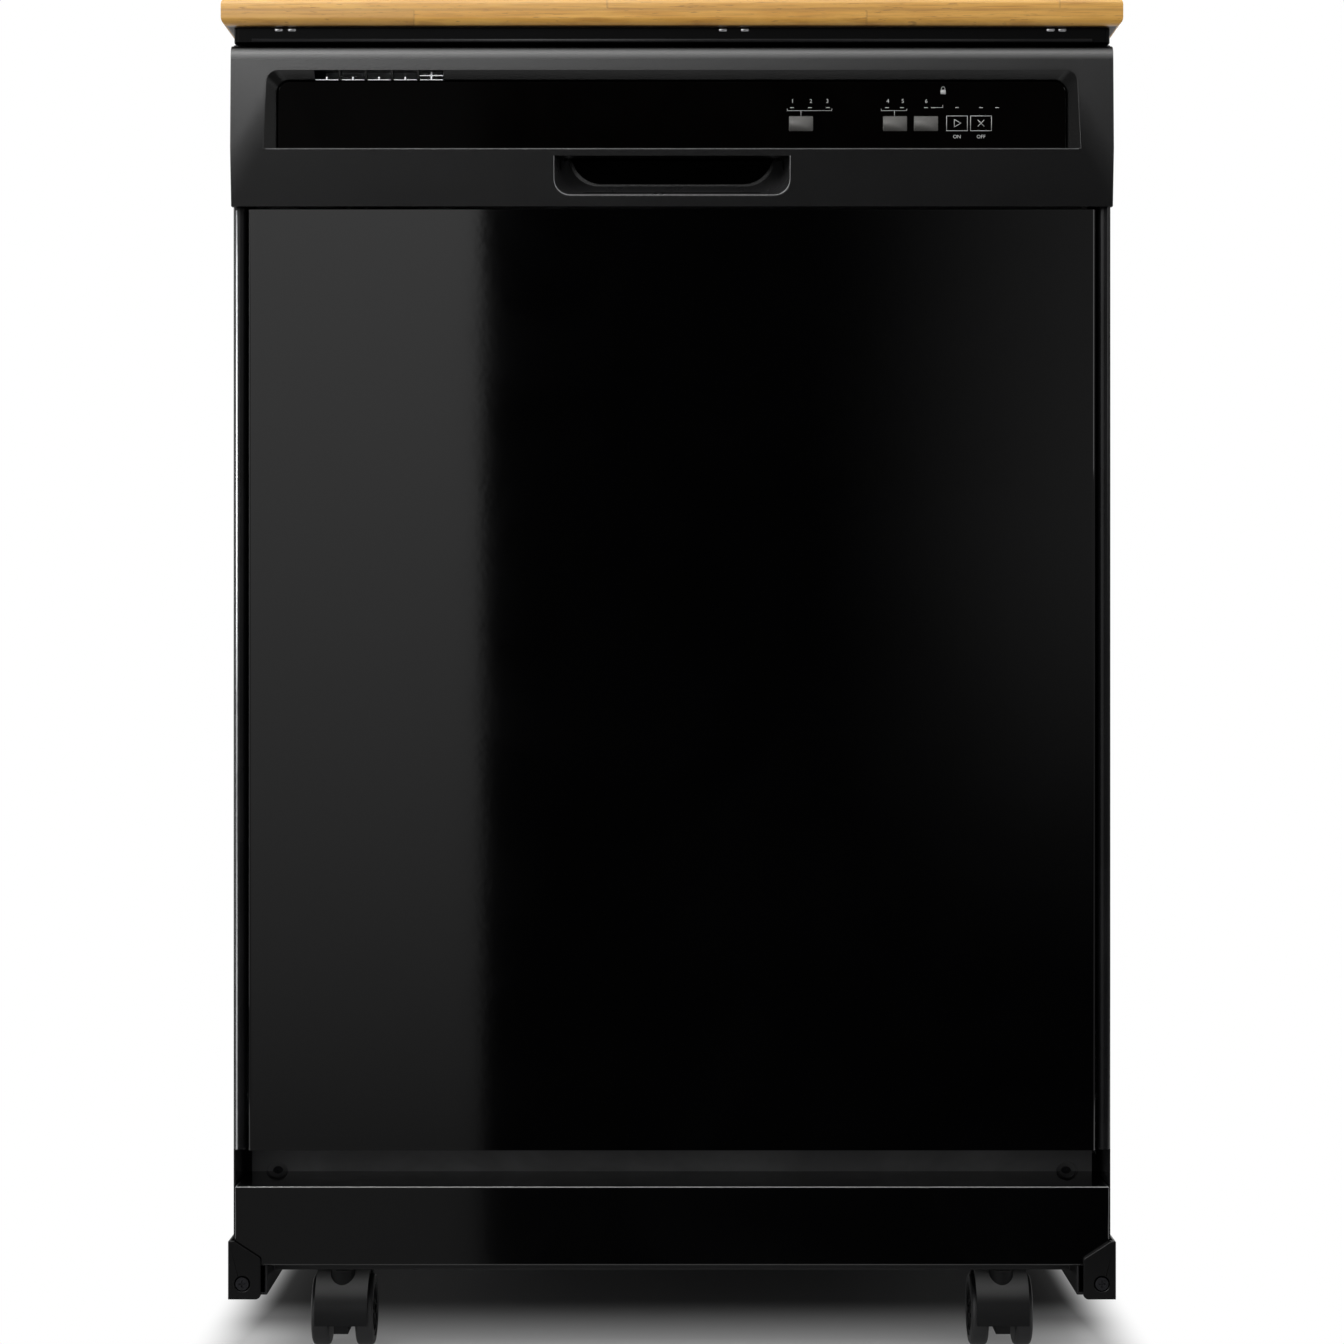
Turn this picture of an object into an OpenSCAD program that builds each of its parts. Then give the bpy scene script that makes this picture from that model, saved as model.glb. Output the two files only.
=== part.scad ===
// Portable dishwasher on casters. Millimetres, +Z up, the door faces -Y.
// The origin lies on the floor under the middle of the worktop.

/* [Overall] */
// Height from the floor to the top face of the worktop
overall_h = 943; // [786:1:1132]
// Width across the outer faces of the two side panels
cab_w = 606; // [505:1:728]
// Depth of the worktop from its front edge to its rear edge
top_d = 668; // [557:1:802]

/* [Worktop] */
// Thickness of the worktop slab
top_t = 21; // [16:1:26]
// How far the worktop stands out past each side panel
top_overhang = 6; // [4:1:12]
// Height of the black frame under the worktop
top_frame_h = 10; // [8:1:14]

/* [Cabinet] */
// Thickness of the painted sheet steel
sheet_t = 1.2; // [0.8:0.1:1.5]
// Width of the folded edge beside the door
edge_w = 9; // [8:1:12]
// Height of the kick skirt
skirt_h = 54; // [45:1:65]
// How far the kick panel sits behind the face of the skirt
toe_depth = 62; // [56:1:66]
// Open height between the shelf of the skirt and the door
toe_gap = 25; // [22:1:32]

/* [Door] */
// Height of the control console
console_h = 113; // [108:1:130]
// Depth of the sloped recess in the console
recess_depth = 10; // [8:0.5:11]
// Width of the handle pocket
pocket_w = 163; // [130:1:200]
// Height of the handle pocket
pocket_h = 27; // [22:1:30]
// Number of vent slots in the console
vent_count = 5; // [3:1:7]

/* [Racks] */
// Thickness of a rack wire
wire = 5; // [4:0.5:6]
// Spacing of the rack wires
wire_pitch = 40; // [32:1:50]
// Number of cells in the silverware basket
basket_cells = 5; // [3:1:6]

/* [Casters] */
// Radius of a caster wheel
wheel_r = 25; // [21:0.5:30]
// Width of one wheel of a twin caster
wheel_w = 12.5; // [10:0.5:14]
// Distance from the swivel axis back to the axle
trail = 14; // [12:1:15]

/* [Hidden] */
$fn = 64;

// Clearances: a running fit on a pin, the gap between pieces that only meet, and the
// joint line between two welded sheets or mats
fit = 0.05;
gap = 0.3;
seam = 0.05;

// Across the cabinet
half_w = cab_w / 2;
inner_w = half_w - sheet_t;
door_w = half_w - edge_w - 2;
liner_w = door_w - 3;
tub_w = half_w - 23;
flange_w = tub_w + 8;
field_w = tub_w - 18;

// From front to back
y_top = -top_d / 2;
y_console = y_top + 4;
y_door = y_top + 12;
y_edge = y_door + 4;
y_back = -y_door;
y_liner_front = y_door + 21;
y_hinge = y_door + 35;
y_liner = y_hinge + 5.5;
y_tub = y_hinge + 12;
y_field = y_hinge + 24;
y_tub_back = -y_tub;
y_kick = y_door + toe_depth;

// Heights, from the floor up
hood_r = wheel_r + 6;
hood_top = wheel_r + hood_r + 0.5;
rail_z = hood_top + 3.5;
rail_h = 12;
base_z = rail_z + rail_h;
side_rail_h = 22;
skirt_z = base_z - 1;
shelf_z = skirt_z + skirt_h;
door_z = shelf_z + toe_gap;
z_hinge = door_z + 32;
tub_z = z_hinge + 18;
track_z = z_hinge + y_field - y_hinge;
top_z = overall_h - top_t;
cab_z = top_z - top_frame_h;
console_z = cab_z - console_h;
tub_top = cab_z - 27;
tub_h = tub_top - tub_z;
panel_z = base_z + 4;

// Wall thicknesses
tub_t = 2;
plastic_t = 2.5;
liner_t = 1.5;

// Casters stand inside the corners
caster_x = half_w - 70;
caster_y = -y_door - 60;
axle_r = 3;
stem_r = 5;
wheel_gap = 18.5;

// Hinges stand between the tub flange and the side panels
arm_t = 2.5;
arm_x = liner_w + gap;
bracket_t = 3;
bracket_x = arm_x + arm_t + 1.2;
pin_r = 4;
pivot_r = 12;

// Racks
rack_front = y_field + 13;
rack_rear = y_tub_back - 35;
rack_l = rack_rear - rack_front;
lower_w = tub_w - 35;
upper_w = tub_w - 28;
lower_z = tub_z + 52;
upper_z = tub_z + 0.547 * tub_h;
upper_h = 0.165 * tub_h;
track_clear = 0.5;
rack_wheel_r = 16;
rack_wheel_z = track_z + track_clear + rack_wheel_r;
rack_wheel_y = rack_rear - 35;
rail_mid_z = upper_z + 33;

// Wash system, centred under the spray arms
arm_reach = min(tub_w, y_tub_back) - 40;
heater_r = arm_reach - 40;
sump_y = -45;
sump_r = 125;
filter_y = -95;
filter_r = 42;
post_r = 12;
lower_arm_z = tub_z + 26;
arm_h = 14;
feed_y = y_tub_back - 13;
feed_r = 8;
manifold_z = upper_z - 12;
upper_arm_z = manifold_z - 27;
float_x = -(tub_w - 85);
float_y = y_tub + 85;

// Hose compartment at the foot of the rear panel
comp_w = 140;
comp_d = 72;
comp_z = base_z + 20;
comp_top = base_z + 120;
comp_y = y_back - comp_d;
gland_x = [-60, 0, 60];
gland_bore = [10, 8, 4.5];
gland_z = comp_z + 50;

// Dispenser on the door liner
disp_x0 = -50;
disp_x1 = 130;
disp_z0 = tub_z + 230;
disp_z1 = disp_z0 + 160;
lid_x = [-45, 35];
lid_z = [disp_z0 + 34, disp_z0 + 96];
lid_y = y_field + 2 + gap;
cap_x = 95;
cap_z = disp_z0 + 65;
cap_r = 19;

// Latch at the top of the door
tongue_z = cab_z - 17;
tongue_t = 3;
pawl_y = y_liner_front + 4;
pawl_z = tongue_z - 9;

// Console
console_w = half_w + 0.2;
recess_w = half_w - 22.5;
recess_slope = 9.2;
recess_z = console_z + 40;
recess_top = cab_z - 16.6;
recess_y = y_console + recess_depth;
vent_pitch = 18;
vent_w = 16.5;
vent_x = -recess_w + 34.7;
pocket_z = console_z + 8;

// ---------------------------------------------------------------- helpers

// Points of an arc about [x, y] from angle a to angle b
function arc(x, y, r, a, b, n = 6) =
  [for (i = [0:n]) [x + r * cos(a + (b - a) * i / n), y + r * sin(a + (b - a) * i / n)]];

// Outline of a box from [x0, y0] to [x1, y1] with rounded corners
function rounded(x0, y0, x1, y1, r, n = 6) = concat(
  arc(x1 - r, y1 - r, r, 0, 90, n), arc(x0 + r, y1 - r, r, 90, 180, n),
  arc(x0 + r, y0 + r, r, 180, 270, n), arc(x1 - r, y0 + r, r, 270, 360, n));

// A block between two opposite corners
module block(a, b) {
  translate(a) cube(b - a);
}

// An outline in X and Z, carried from y0 to y1
module along_y(points, y0, y1) {
  translate([0, y1, 0]) rotate([90, 0, 0]) linear_extrude(y1 - y0) polygon(points);
}

// An outline in Y and Z, carried from x0 to x1
module along_x(points, x0, x1) {
  translate([x0, 0, 0]) rotate([90, 0, 90]) linear_extrude(x1 - x0) polygon(points);
}

// An outline in X and Y, carried from z0 to z1
module along_z(points, z0, z1) {
  translate([0, 0, z0]) linear_extrude(z1 - z0) polygon(points);
}

module rod_x(y, z, r, x0, x1) {
  translate([x0, y, z]) rotate([0, 90, 0]) cylinder(r = r, h = x1 - x0);
}

module rod_y(x, z, r, y0, y1) {
  translate([x, y0, z]) rotate([-90, 0, 0]) cylinder(r = r, h = y1 - y0);
}

module rod_z(x, y, r, z0, z1) {
  translate([x, y, z0]) cylinder(r = r, h = z1 - z0);
}

module both_sides() {
  children();
  mirror([1, 0, 0]) children();
}

// ---------------------------------------------------------------- worktop

module worktop() {
  edge_r = 6;
  w = half_w + top_overhang;
  color("BurlyWood") intersection() {
    along_x(rounded(y_top, top_z, -y_top, overall_h, edge_r), -w, w);
    along_y(rounded(-w, top_z, w, overall_h, edge_r), y_top, -y_top);
  }
}

module worktop_frame() {
  corner_r = 4;
  color("#1b1c1e")
    along_z(rounded(-half_w + 2, y_door - 6, half_w - 2, y_back, corner_r), cab_z, top_z);
}

// ---------------------------------------------------------------- cabinet

// Right-hand side panel: a sheet whose front edge is folded round beside the door
module side_panel() {
  fold_r = 4;
  fold_back = 18;
  in_r = fold_r - sheet_t;
  x_out = half_w - fold_r;
  x_in = half_w - edge_w + fold_r;
  y_mid = y_edge + fold_r;
  plan = concat(
    [[half_w, y_back]], arc(x_out, y_mid, fold_r, 0, -90),
    arc(x_in, y_mid, fold_r, -90, -180), [[half_w - edge_w, y_edge + fold_back]],
    [[half_w - edge_w + sheet_t, y_edge + fold_back]], arc(x_in, y_mid, in_r, -180, -90),
    arc(x_out, y_mid, in_r, -90, 0), [[inner_w, y_back]]);
  along_z(plan, door_z, cab_z);
  block([inner_w, y_edge + fold_r, panel_z], [half_w, y_back, door_z]);
}

module side_panel_left() {
  color("#17181a") mirror([1, 0, 0]) side_panel();
}

module side_panel_right() {
  color("#17181a") side_panel();
}

module rear_panel() {
  w = inner_w - 0.2;
  color("#1d1e20") difference() {
    block([-w, y_back - sheet_t, panel_z], [w, y_back, cab_z - gap]);
    block([-comp_w, y_back - 5, comp_z], [comp_w, y_back + 5, comp_top]);
  }
}

module hose_compartment() {
  t = 2;
  lip = 8;
  y_end = y_back - sheet_t;
  color("#232426") difference() {
    union() {
      block([-comp_w, comp_y, comp_z], [comp_w, y_end, comp_top]);
      block([-comp_w - lip, y_end - t, comp_z - lip], [comp_w + lip, y_end, comp_top + lip]);
    }
    block([-comp_w + t, comp_y + t, comp_z + t], [comp_w - t, y_back, comp_top - t]);
    for (i = [0:2])
      rod_y(gland_x[i], gland_z, gland_bore[i] + 4 + fit, comp_y - 5, comp_y + 10);
  }
}

// A bushed gland in the wall of the compartment for each hose and for the cord
module hose_glands() {
  color("#303235") for (i = [0:2]) difference() {
    union() {
      rod_y(gland_x[i], gland_z, gland_bore[i] + 4, comp_y - 8, comp_y + 14);
      rod_y(gland_x[i], gland_z, gland_bore[i] + 8, comp_y + 2, comp_y + 6);
    }
    rod_y(gland_x[i], gland_z, gland_bore[i], comp_y - 9, comp_y + 15);
  }
}

// Welded ladder: two square side tubes and two cross channels that carry the casters
module base_frame() {
  tube_t = 2;
  tube_x = half_w - 24;
  tube_end = y_door + 2.5;
  tube_z = base_z - side_rail_h;
  cross_w = 44;
  web_t = 2.5;
  color("#2a2b2d") difference() {
    union() {
      both_sides() difference() {
        block([tube_x, tube_end, tube_z], [half_w - 2, -tube_end, base_z]);
        block([tube_x + tube_t, tube_end - 1, tube_z + tube_t],
              [half_w - 2 - tube_t, -tube_end + 1, base_z - tube_t]);
      }
      for (s = [-1, 1]) difference() {
        block([-tube_x, s * caster_y - cross_w / 2, rail_z],
              [tube_x, s * caster_y + cross_w / 2, base_z]);
        block([-tube_x - 1, s * caster_y - cross_w / 2 + web_t, rail_z - 1],
              [tube_x + 1, s * caster_y + cross_w / 2 - web_t, base_z - web_t]);
      }
    }
    for (s = [-1, 1]) both_sides()
      rod_z(caster_x, s * caster_y, stem_r + fit, rail_z, base_z + 1);
  }
}

module base_pan() {
  t = 2;
  rim_h = 40;
  w = inner_w - gap;
  y0 = y_kick + sheet_t + gap;
  y1 = y_back - sheet_t - gap;
  color("#3a3c3f") difference() {
    block([-w, y0, base_z], [w, y1, base_z + rim_h]);
    block([-w + t, y0 + t, base_z + t], [w - t, y1 - t, base_z + rim_h + 1]);
    block([-comp_w - 10, y1 - t - 1, comp_z - 10], [comp_w + 10, y1 + 1, base_z + rim_h + 1]);
  }
}

module kick_skirt() {
  t = 2;
  w = half_w - 2;
  color("#1a1b1d") difference() {
    block([-w, y_door, skirt_z], [w, y_kick, shelf_z]);
    block([-w + t, y_door + t, skirt_z - 1], [w - t, y_kick + 1, shelf_z - t]);
    block([-w - 1, y_door + t, skirt_z - 1], [w + 1, y_kick + 1, base_z + gap]);
  }
}

// Kick panel with a round screw pocket near each end
module access_panel() {
  w = inner_w - 4;
  pocket_x = half_w - 23;
  pocket_r = 8.5;
  z0 = base_z + 18;
  z1 = shelf_z + 15;
  cup_d = 8;
  color("#202123") {
    difference() {
      block([-w, y_kick, z0], [w, y_kick + sheet_t, z1]);
      both_sides() rod_y(pocket_x, shelf_z - 1, pocket_r, y_kick - 1, y_kick + 5);
    }
    both_sides() difference() {
      rod_y(pocket_x, shelf_z - 1, pocket_r, y_kick, y_kick + cup_d);
      rod_y(pocket_x, shelf_z - 1, pocket_r - 1, y_kick - 1, y_kick + cup_d - 1.5);
      rod_y(pocket_x, shelf_z - 1, 2.2, y_kick, y_kick + cup_d + 1);
    }
  }
}

// Moulded brackets that wrap the four bottom corners of the cabinet
bracket_low = base_z - 24;
bracket_top = base_z + 16;
bracket_in = half_w - 20;
bracket_out = half_w + 2.4;
bracket_front = y_door - 3;
corner_screw_x = half_w - 7.4;
corner_screw_z = base_z - 13.3;

module corner_bracket() {
  t = 2;
  leg_w = 30;
  y_in = y_door - 0.2;
  x_in = half_w + 0.3;
  foot_z = base_z + 4;
  flare = 4;
  face = [
    [bracket_in, bracket_low + 2], [bracket_in + 2, bracket_low], [bracket_out, bracket_low],
    [bracket_out, bracket_top], [bracket_out - flare, bracket_top],
    [bracket_in, foot_z]];
  difference() {
    union() {
      along_y(face, bracket_front, y_in);
      block([x_in, y_in, bracket_low], [bracket_out, y_in + leg_w, bracket_top]);
    }
    rod_y(corner_screw_x, corner_screw_z, 2.2, bracket_front - 1, y_in + 1);
    rod_y(corner_screw_x, corner_screw_z, 5, bracket_front - 1, bracket_front + 1);
  }
}

module corner_brackets() {
  color("#242527") both_sides() {
    corner_bracket();
    mirror([0, 1, 0]) corner_bracket();
  }
}

// A screw whose head faces -Y
module screw_y(x, y, z, head_r) {
  head = 1.4;
  slot = 1.1;
  cross = 2.4;
  difference() {
    union() {
      rod_y(x, z, head_r, y - head, y);
      rod_y(x, z, 2, y - 0.1, y + 8);
    }
    block([x - slot / 2, y - head - 1, z - cross], [x + slot / 2, y - 0.6, z + cross]);
    block([x - cross, y - head - 1, z - slot / 2], [x + cross, y - 0.6, z + slot / 2]);
  }
}

module cabinet_screws() {
  kick_x = half_w - 23;
  kick_y = y_kick + 6.5;
  color("#8e9093") both_sides() {
    screw_y(corner_screw_x, bracket_front + 1, corner_screw_z, 4.5);
    mirror([0, 1, 0]) screw_y(corner_screw_x, bracket_front + 1, corner_screw_z, 4.5);
    screw_y(kick_x, kick_y, shelf_z - 1, 3.6);
  }
}

// ---------------------------------------------------------------- casters

// Swivel stems, fixed in the cross channels
module caster_stems() {
  flange_r = 14;
  color("#a9abae") for (s = [-1, 1]) both_sides() {
    rod_z(caster_x, s * caster_y, stem_r, wheel_r + 16, base_z);
    rod_z(caster_x, s * caster_y, flange_r, base_z - 5, base_z - 2.5);
  }
}

// Hood, web and axle of a caster whose swivel axis stands at [x, y]
module caster_hood(x, y) {
  skin = 3.5;
  half = 18.5;
  web = 5;
  boss_r = 8.5;
  boss_z = wheel_r + 9;
  skirt_line = wheel_r - 6;
  ay = y + trail;
  color("#222325") difference() {
    union() {
      difference() {
        rod_x(ay, wheel_r, hood_r, x - half, x + half);
        rod_x(ay, wheel_r, hood_r - skin, x - half - 1, x + half + 1);
        block([x - half - 1, ay - hood_r - 1, -hood_r], [x + half + 1, ay + hood_r + 1, skirt_line]);
      }
      difference() {
        rod_x(ay, wheel_r, hood_r - 1, x - web, x + web);
        block([x - web - 1, ay - hood_r, -hood_r], [x + web + 1, ay + hood_r, wheel_r - 12]);
      }
      rod_z(x, y, boss_r, boss_z, hood_top);
      rod_x(ay, wheel_r, axle_r, x - wheel_gap / 2 - wheel_w - 1, x + wheel_gap / 2 + wheel_w + 1);
    }
    rod_z(x, y, stem_r + fit, wheel_r + 15, hood_top + 1);
  }
}

// One wheel of a twin caster, side is -1 or 1 from the swivel axis at [x, y]
module caster_wheel(x, y, side) {
  tread_r = 2.5;
  dish_r = wheel_r - 6;
  dish = 1.5;
  profile = concat(
    [[axle_r + fit, wheel_gap / 2]], arc(wheel_r - tread_r, wheel_gap / 2 + tread_r, tread_r, -90, 0),
    arc(wheel_r - tread_r, wheel_gap / 2 + wheel_w - tread_r, tread_r, 0, 90),
    [[dish_r, wheel_gap / 2 + wheel_w], [dish_r - 1, wheel_gap / 2 + wheel_w - dish],
     [axle_r + fit, wheel_gap / 2 + wheel_w - dish]]);
  color("#2c2d2f") translate([x, y + trail, wheel_r]) rotate([0, side * 90, 0])
    rotate_extrude() polygon(profile);
}

module caster_hood_front_left() { caster_hood(-caster_x, -caster_y); }
module caster_hood_front_right() { caster_hood(caster_x, -caster_y); }
module caster_hood_rear_left() { caster_hood(-caster_x, caster_y); }
module caster_hood_rear_right() { caster_hood(caster_x, caster_y); }
module wheel_front_left_inner() { caster_wheel(-caster_x, -caster_y, 1); }
module wheel_front_left_outer() { caster_wheel(-caster_x, -caster_y, -1); }
module wheel_front_right_inner() { caster_wheel(caster_x, -caster_y, -1); }
module wheel_front_right_outer() { caster_wheel(caster_x, -caster_y, 1); }
module wheel_rear_left_inner() { caster_wheel(-caster_x, caster_y, 1); }
module wheel_rear_left_outer() { caster_wheel(-caster_x, caster_y, -1); }
module wheel_rear_right_inner() { caster_wheel(caster_x, caster_y, -1); }
module wheel_rear_right_outer() { caster_wheel(caster_x, caster_y, 1); }

// ---------------------------------------------------------------- tub

tub_corner = 25;
sump_hole_r = sump_r + 1;
heater_leg_x = 20;
heater_z = tub_z + 12;

// The tub is welded from sheets: a floor, a bent wrapper, a back, and a strip round each low corner
module tub() {
  back = y_tub_back - tub_t;
  end = back - seam;
  color("#c3c6c9") {
    tub_floor(end);
    both_sides() intersection() {
      tub_skin(end);
      block([tub_w - tub_corner, y_tub, tub_z - 1], [tub_w + 1, end, tub_z + tub_corner]);
    }
    intersection() {
      tub_skin(end);
      block([-tub_w - 1, y_tub, tub_z + tub_corner + seam], [tub_w + 1, end, tub_top + 1]);
    }
    along_y(rounded(-tub_w, tub_z, tub_w, tub_top, tub_corner), back, y_tub_back);
    tub_flange();
    both_sides() tub_track(end);
  }
}

// The four walls of the tub as one thin sheet, from its mouth to y1
module tub_skin(y1) {
  difference() {
    along_y(rounded(-tub_w, tub_z, tub_w, tub_top, tub_corner), y_tub, y1);
    along_y(rounded(-tub_w + tub_t, tub_z + tub_t, tub_w - tub_t, tub_top - tub_t,
                    tub_corner - tub_t), y_tub - 1, y1 + 1);
  }
}

// Flat of the floor, with the holes of the drum, the heater and the float
module tub_floor(y1) {
  w = tub_w - tub_corner - seam;
  difference() {
    block([-w, y_tub, tub_z], [w, y1, tub_z + tub_t]);
    rod_z(0, sump_y, sump_hole_r, tub_z - 1, tub_z + tub_t + 1);
    both_sides() rod_z(heater_leg_x, heater_r, 4.3, tub_z - 1, tub_z + tub_t + 1);
    rod_z(float_x, float_y, 6, tub_z - 1, tub_z + tub_t + 1);
  }
}

// Frame round the mouth that the cabinet and the seal meet
module tub_flange() {
  flange = flange_w - tub_w;
  difference() {
    along_y(rounded(-flange_w, tub_z - flange, flange_w, tub_top + flange, tub_corner + flange),
            y_tub, y_tub + tub_t);
    along_y(rounded(-tub_w - seam, tub_z - seam, tub_w + seam, tub_top + seam, tub_corner + seam),
            y_tub - 1, y_tub + tub_t + 1);
  }
}

// Ledge that the wheels of the lower rack roll on, shaped to the floor and its corner
module tub_track(y1) {
  inset = tub_t + seam;
  intersection() {
    along_y(rounded(-tub_w + inset, tub_z + inset, tub_w - inset, tub_top - inset,
                    tub_corner - inset), y_tub, y1);
    block([lower_w - 2, y_tub, tub_z], [lower_w + 15, y1, track_z]);
  }
}

// Rubber seal on the sides and top of the tub mouth
module tub_gasket() {
  seal_w = 5;
  low = tub_z + 8;
  color("#2b2b2b") difference() {
    along_y(rounded(-tub_w, low, tub_w, tub_top, tub_corner), y_liner + 0.5, y_tub);
    along_y(rounded(-tub_w + seal_w, low - tub_corner, tub_w - seal_w, tub_top - seal_w,
                    tub_corner - seal_w), y_liner - 1, y_tub + 1);
    block([-tub_w - 1, y_liner - 1, low - 1], [tub_w + 1, y_tub + 1, low + tub_corner]);
  }
}

// Slotted channels on the tub walls that guide the upper rack
module rack_rails() {
  t = 2;
  x1 = tub_w - tub_t;
  x0 = x1 - 15;
  half_h = 12;
  slot = 6;
  color("#b4b7ba") both_sides() difference() {
    block([x0, y_tub + 8, rail_mid_z - half_h], [x1, rack_rear, rail_mid_z + half_h]);
    block([x0 + t, y_tub + 7, rail_mid_z - half_h + t], [x1 - t, rack_rear + 1, rail_mid_z + half_h - t]);
    block([x0 - 1, y_tub + 7, rail_mid_z - slot], [x0 + t + 1, rack_rear + 1, rail_mid_z + slot]);
  }
}

// ---------------------------------------------------------------- wash system

sump_low = tub_z - 55;
sump_flange = 10;
pump_r = 38;
y_pump = sump_y + sump_r + 45;
pump_z = tub_z - 42;
seat_t = 3;
filter_low = tub_z - 48;

// Drum under the tub floor: a flanged cover with the filter well, and the post of the lower arm
module sump() {
  t = 3;
  rim_z = tub_z + tub_t;
  cover_t = 2.5;
  pipe_x = 75;
  pipe_r = 12;
  color("#8d9094") difference() {
    union() {
      rod_z(0, sump_y, sump_r, sump_low, rim_z + cover_t);
      rod_z(0, sump_y, sump_r + sump_flange, rim_z, rim_z + cover_t);
      rod_y(pipe_x, pump_z, pipe_r, sump_y, y_pump - pump_r - 0.2);
      rod_z(0, 0, post_r, rim_z, lower_arm_z + arm_h - 2);
    }
    difference() {
      rod_z(0, sump_y, sump_r - t, sump_low + t, rim_z);
      rod_z(0, filter_y, filter_r + gap + seat_t, sump_low, tub_z - 10);
    }
    rod_z(0, filter_y, filter_r + gap, sump_low + t, rim_z + cover_t + 1);
    rod_y(pipe_x, pump_z, pipe_r - t, sump_y, y_pump);
  }
}

// Cylindrical filter that locks with a quarter turn
module filter() {
  body_top = tub_z + 4;
  grip_top = tub_z + 14;
  wall = 2;
  color("#5d6166") {
    difference() {
      rod_z(0, filter_y, filter_r, filter_low, body_top);
      rod_z(0, filter_y, filter_r - wall, filter_low + wall, body_top + 1);
    }
    block([-filter_r + 1, filter_y - 3, body_top - 12], [filter_r - 1, filter_y + 3, grip_top]);
    rod_z(0, filter_y, 8, filter_low + 1, grip_top);
  }
}

module heating_element() {
  rod_r = 4;
  color("#77706a") {
    translate([0, 0, heater_z]) rotate_extrude() translate([heater_r, 0]) circle(r = rod_r);
    both_sides() rod_z(heater_leg_x, heater_r, rod_r, tub_z - 12, heater_z);
  }
}

// Wash pump with its volute, and the smaller drain pump beside it
module wash_and_drain_pumps() {
  drain_r = 24;
  drain_y = y_pump - 10;
  foot_w = 14;
  color("#45484c") {
    rod_x(y_pump, pump_z, pump_r - 6, 30, 150);
    rod_x(y_pump, pump_z, pump_r, 56, 94);
    block([110, y_pump - foot_w, base_z + 2], [134, y_pump + foot_w, pump_z]);
    rod_x(drain_y, base_z + 34, drain_r, -120, -50);
    rod_x(drain_y, base_z + 34, drain_r + 6, -70, -56);
    block([-110, drain_y - foot_w, base_z + 2], [-90, drain_y + foot_w, base_z + 34]);
  }
}

module inlet_valve() {
  x0 = -(half_w - 75);
  y1 = comp_y - 10;
  color("#d9dadc") {
    block([x0, y1 - 50, base_z + 2], [x0 + 40, y1, base_z + 30]);
    rod_z(x0 + 20, y1 - 25, 16, base_z + 29, base_z + 62);
    rod_y(x0 + 20, base_z + 16, 10, y1 - 1, y1 + 8);
  }
}

// Pipe up the back wall that feeds the upper spray arm
module feed_tube() {
  port_r = feed_r + 3;
  color("#9da0a4") difference() {
    union() {
      rod_z(0, feed_y, feed_r, tub_z + tub_t, manifold_z + feed_r);
      rod_y(0, manifold_z, port_r, feed_y - 12, feed_y);
      for (z = [tub_z + 60, tub_z + 0.35 * tub_h])
        block([-feed_r - 3, feed_y, z], [feed_r + 3, y_tub_back - tub_t, z + 12]);
    }
    rod_z(0, feed_y, feed_r - 2, tub_z + tub_t - 1, manifold_z);
    rod_y(0, manifold_z, feed_r - 2, feed_y - 13, feed_y);
  }
}

// Float that lifts when the water stands too high
module overfill_float() {
  cap_h = 26;
  wall = 2;
  color("#e3e4e5") {
    difference() {
      rod_z(float_x, float_y, 20, tub_z + tub_t + gap, tub_z + tub_t + cap_h);
      rod_z(float_x, float_y, 20 - wall, tub_z, tub_z + tub_t + cap_h - wall);
    }
    rod_z(float_x, float_y, 5, tub_z - 30, tub_z + tub_t + cap_h - 1);
  }
}

// A two-bladed spray arm about [0, 0], blades along X
module spray_arm(z, reach, hub_r) {
  root = 24;
  tip = 17;
  blade_h = arm_h - 4;
  blade = concat(
    arc(reach - tip, 0, tip, -80, 80, 8), [[30, root]], [[-30, root]],
    arc(-reach + tip, 0, tip, 100, 260, 8), [[-30, -root]], [[30, -root]]);
  along_z(blade, z, z + blade_h);
  rod_z(0, 0, hub_r, z - 2, z + arm_h);
}

module lower_spray_arm() {
  jets = 4;
  color("#6f7478") difference() {
    spray_arm(lower_arm_z, arm_reach, 24);
    rod_z(0, 0, post_r + fit, lower_arm_z - 3, lower_arm_z + arm_h + 1);
    for (s = [-1, 1], i = [1:jets])
      rod_z(s * (45 + i * (arm_reach - 70) / jets), s * (i - 2.5) * 4, 2,
            lower_arm_z + 5, lower_arm_z + arm_h);
  }
}

// ---------------------------------------------------------------- hinges and latch

bracket_foot_z = base_z + 2;

module hinge_brackets() {
  y0 = y_hinge - pivot_r;
  y1 = y_hinge + 60;
  tab_y = y_tub + tub_t + 0.2;
  color("#9a9c9f") both_sides() difference() {
    union() {
      block([bracket_x, y_kick + 6, bracket_foot_z], [bracket_x + bracket_t, y1, z_hinge + 48]);
      block([bracket_x, y0, z_hinge - 20], [bracket_x + bracket_t, y1, z_hinge + 48]);
      block([bracket_x - 26, y_kick + 6, bracket_foot_z],
            [bracket_x + bracket_t, y1, bracket_foot_z + 3]);
      block([tub_w + 1, tab_y, z_hinge + 36], [bracket_x + bracket_t, tab_y + 3, z_hinge + 48]);
    }
    rod_x(y_hinge, z_hinge, pin_r + fit, bracket_x - 1, bracket_x + bracket_t + 1);
  }
}

module hinge_pins() {
  head_r = 6;
  color("#b9bbbe") both_sides() {
    rod_x(y_hinge, z_hinge, pin_r, arm_x, bracket_x + bracket_t + 1);
    rod_x(y_hinge, z_hinge, head_r, bracket_x + bracket_t + fit, bracket_x + bracket_t + 1.5);
  }
}

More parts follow.
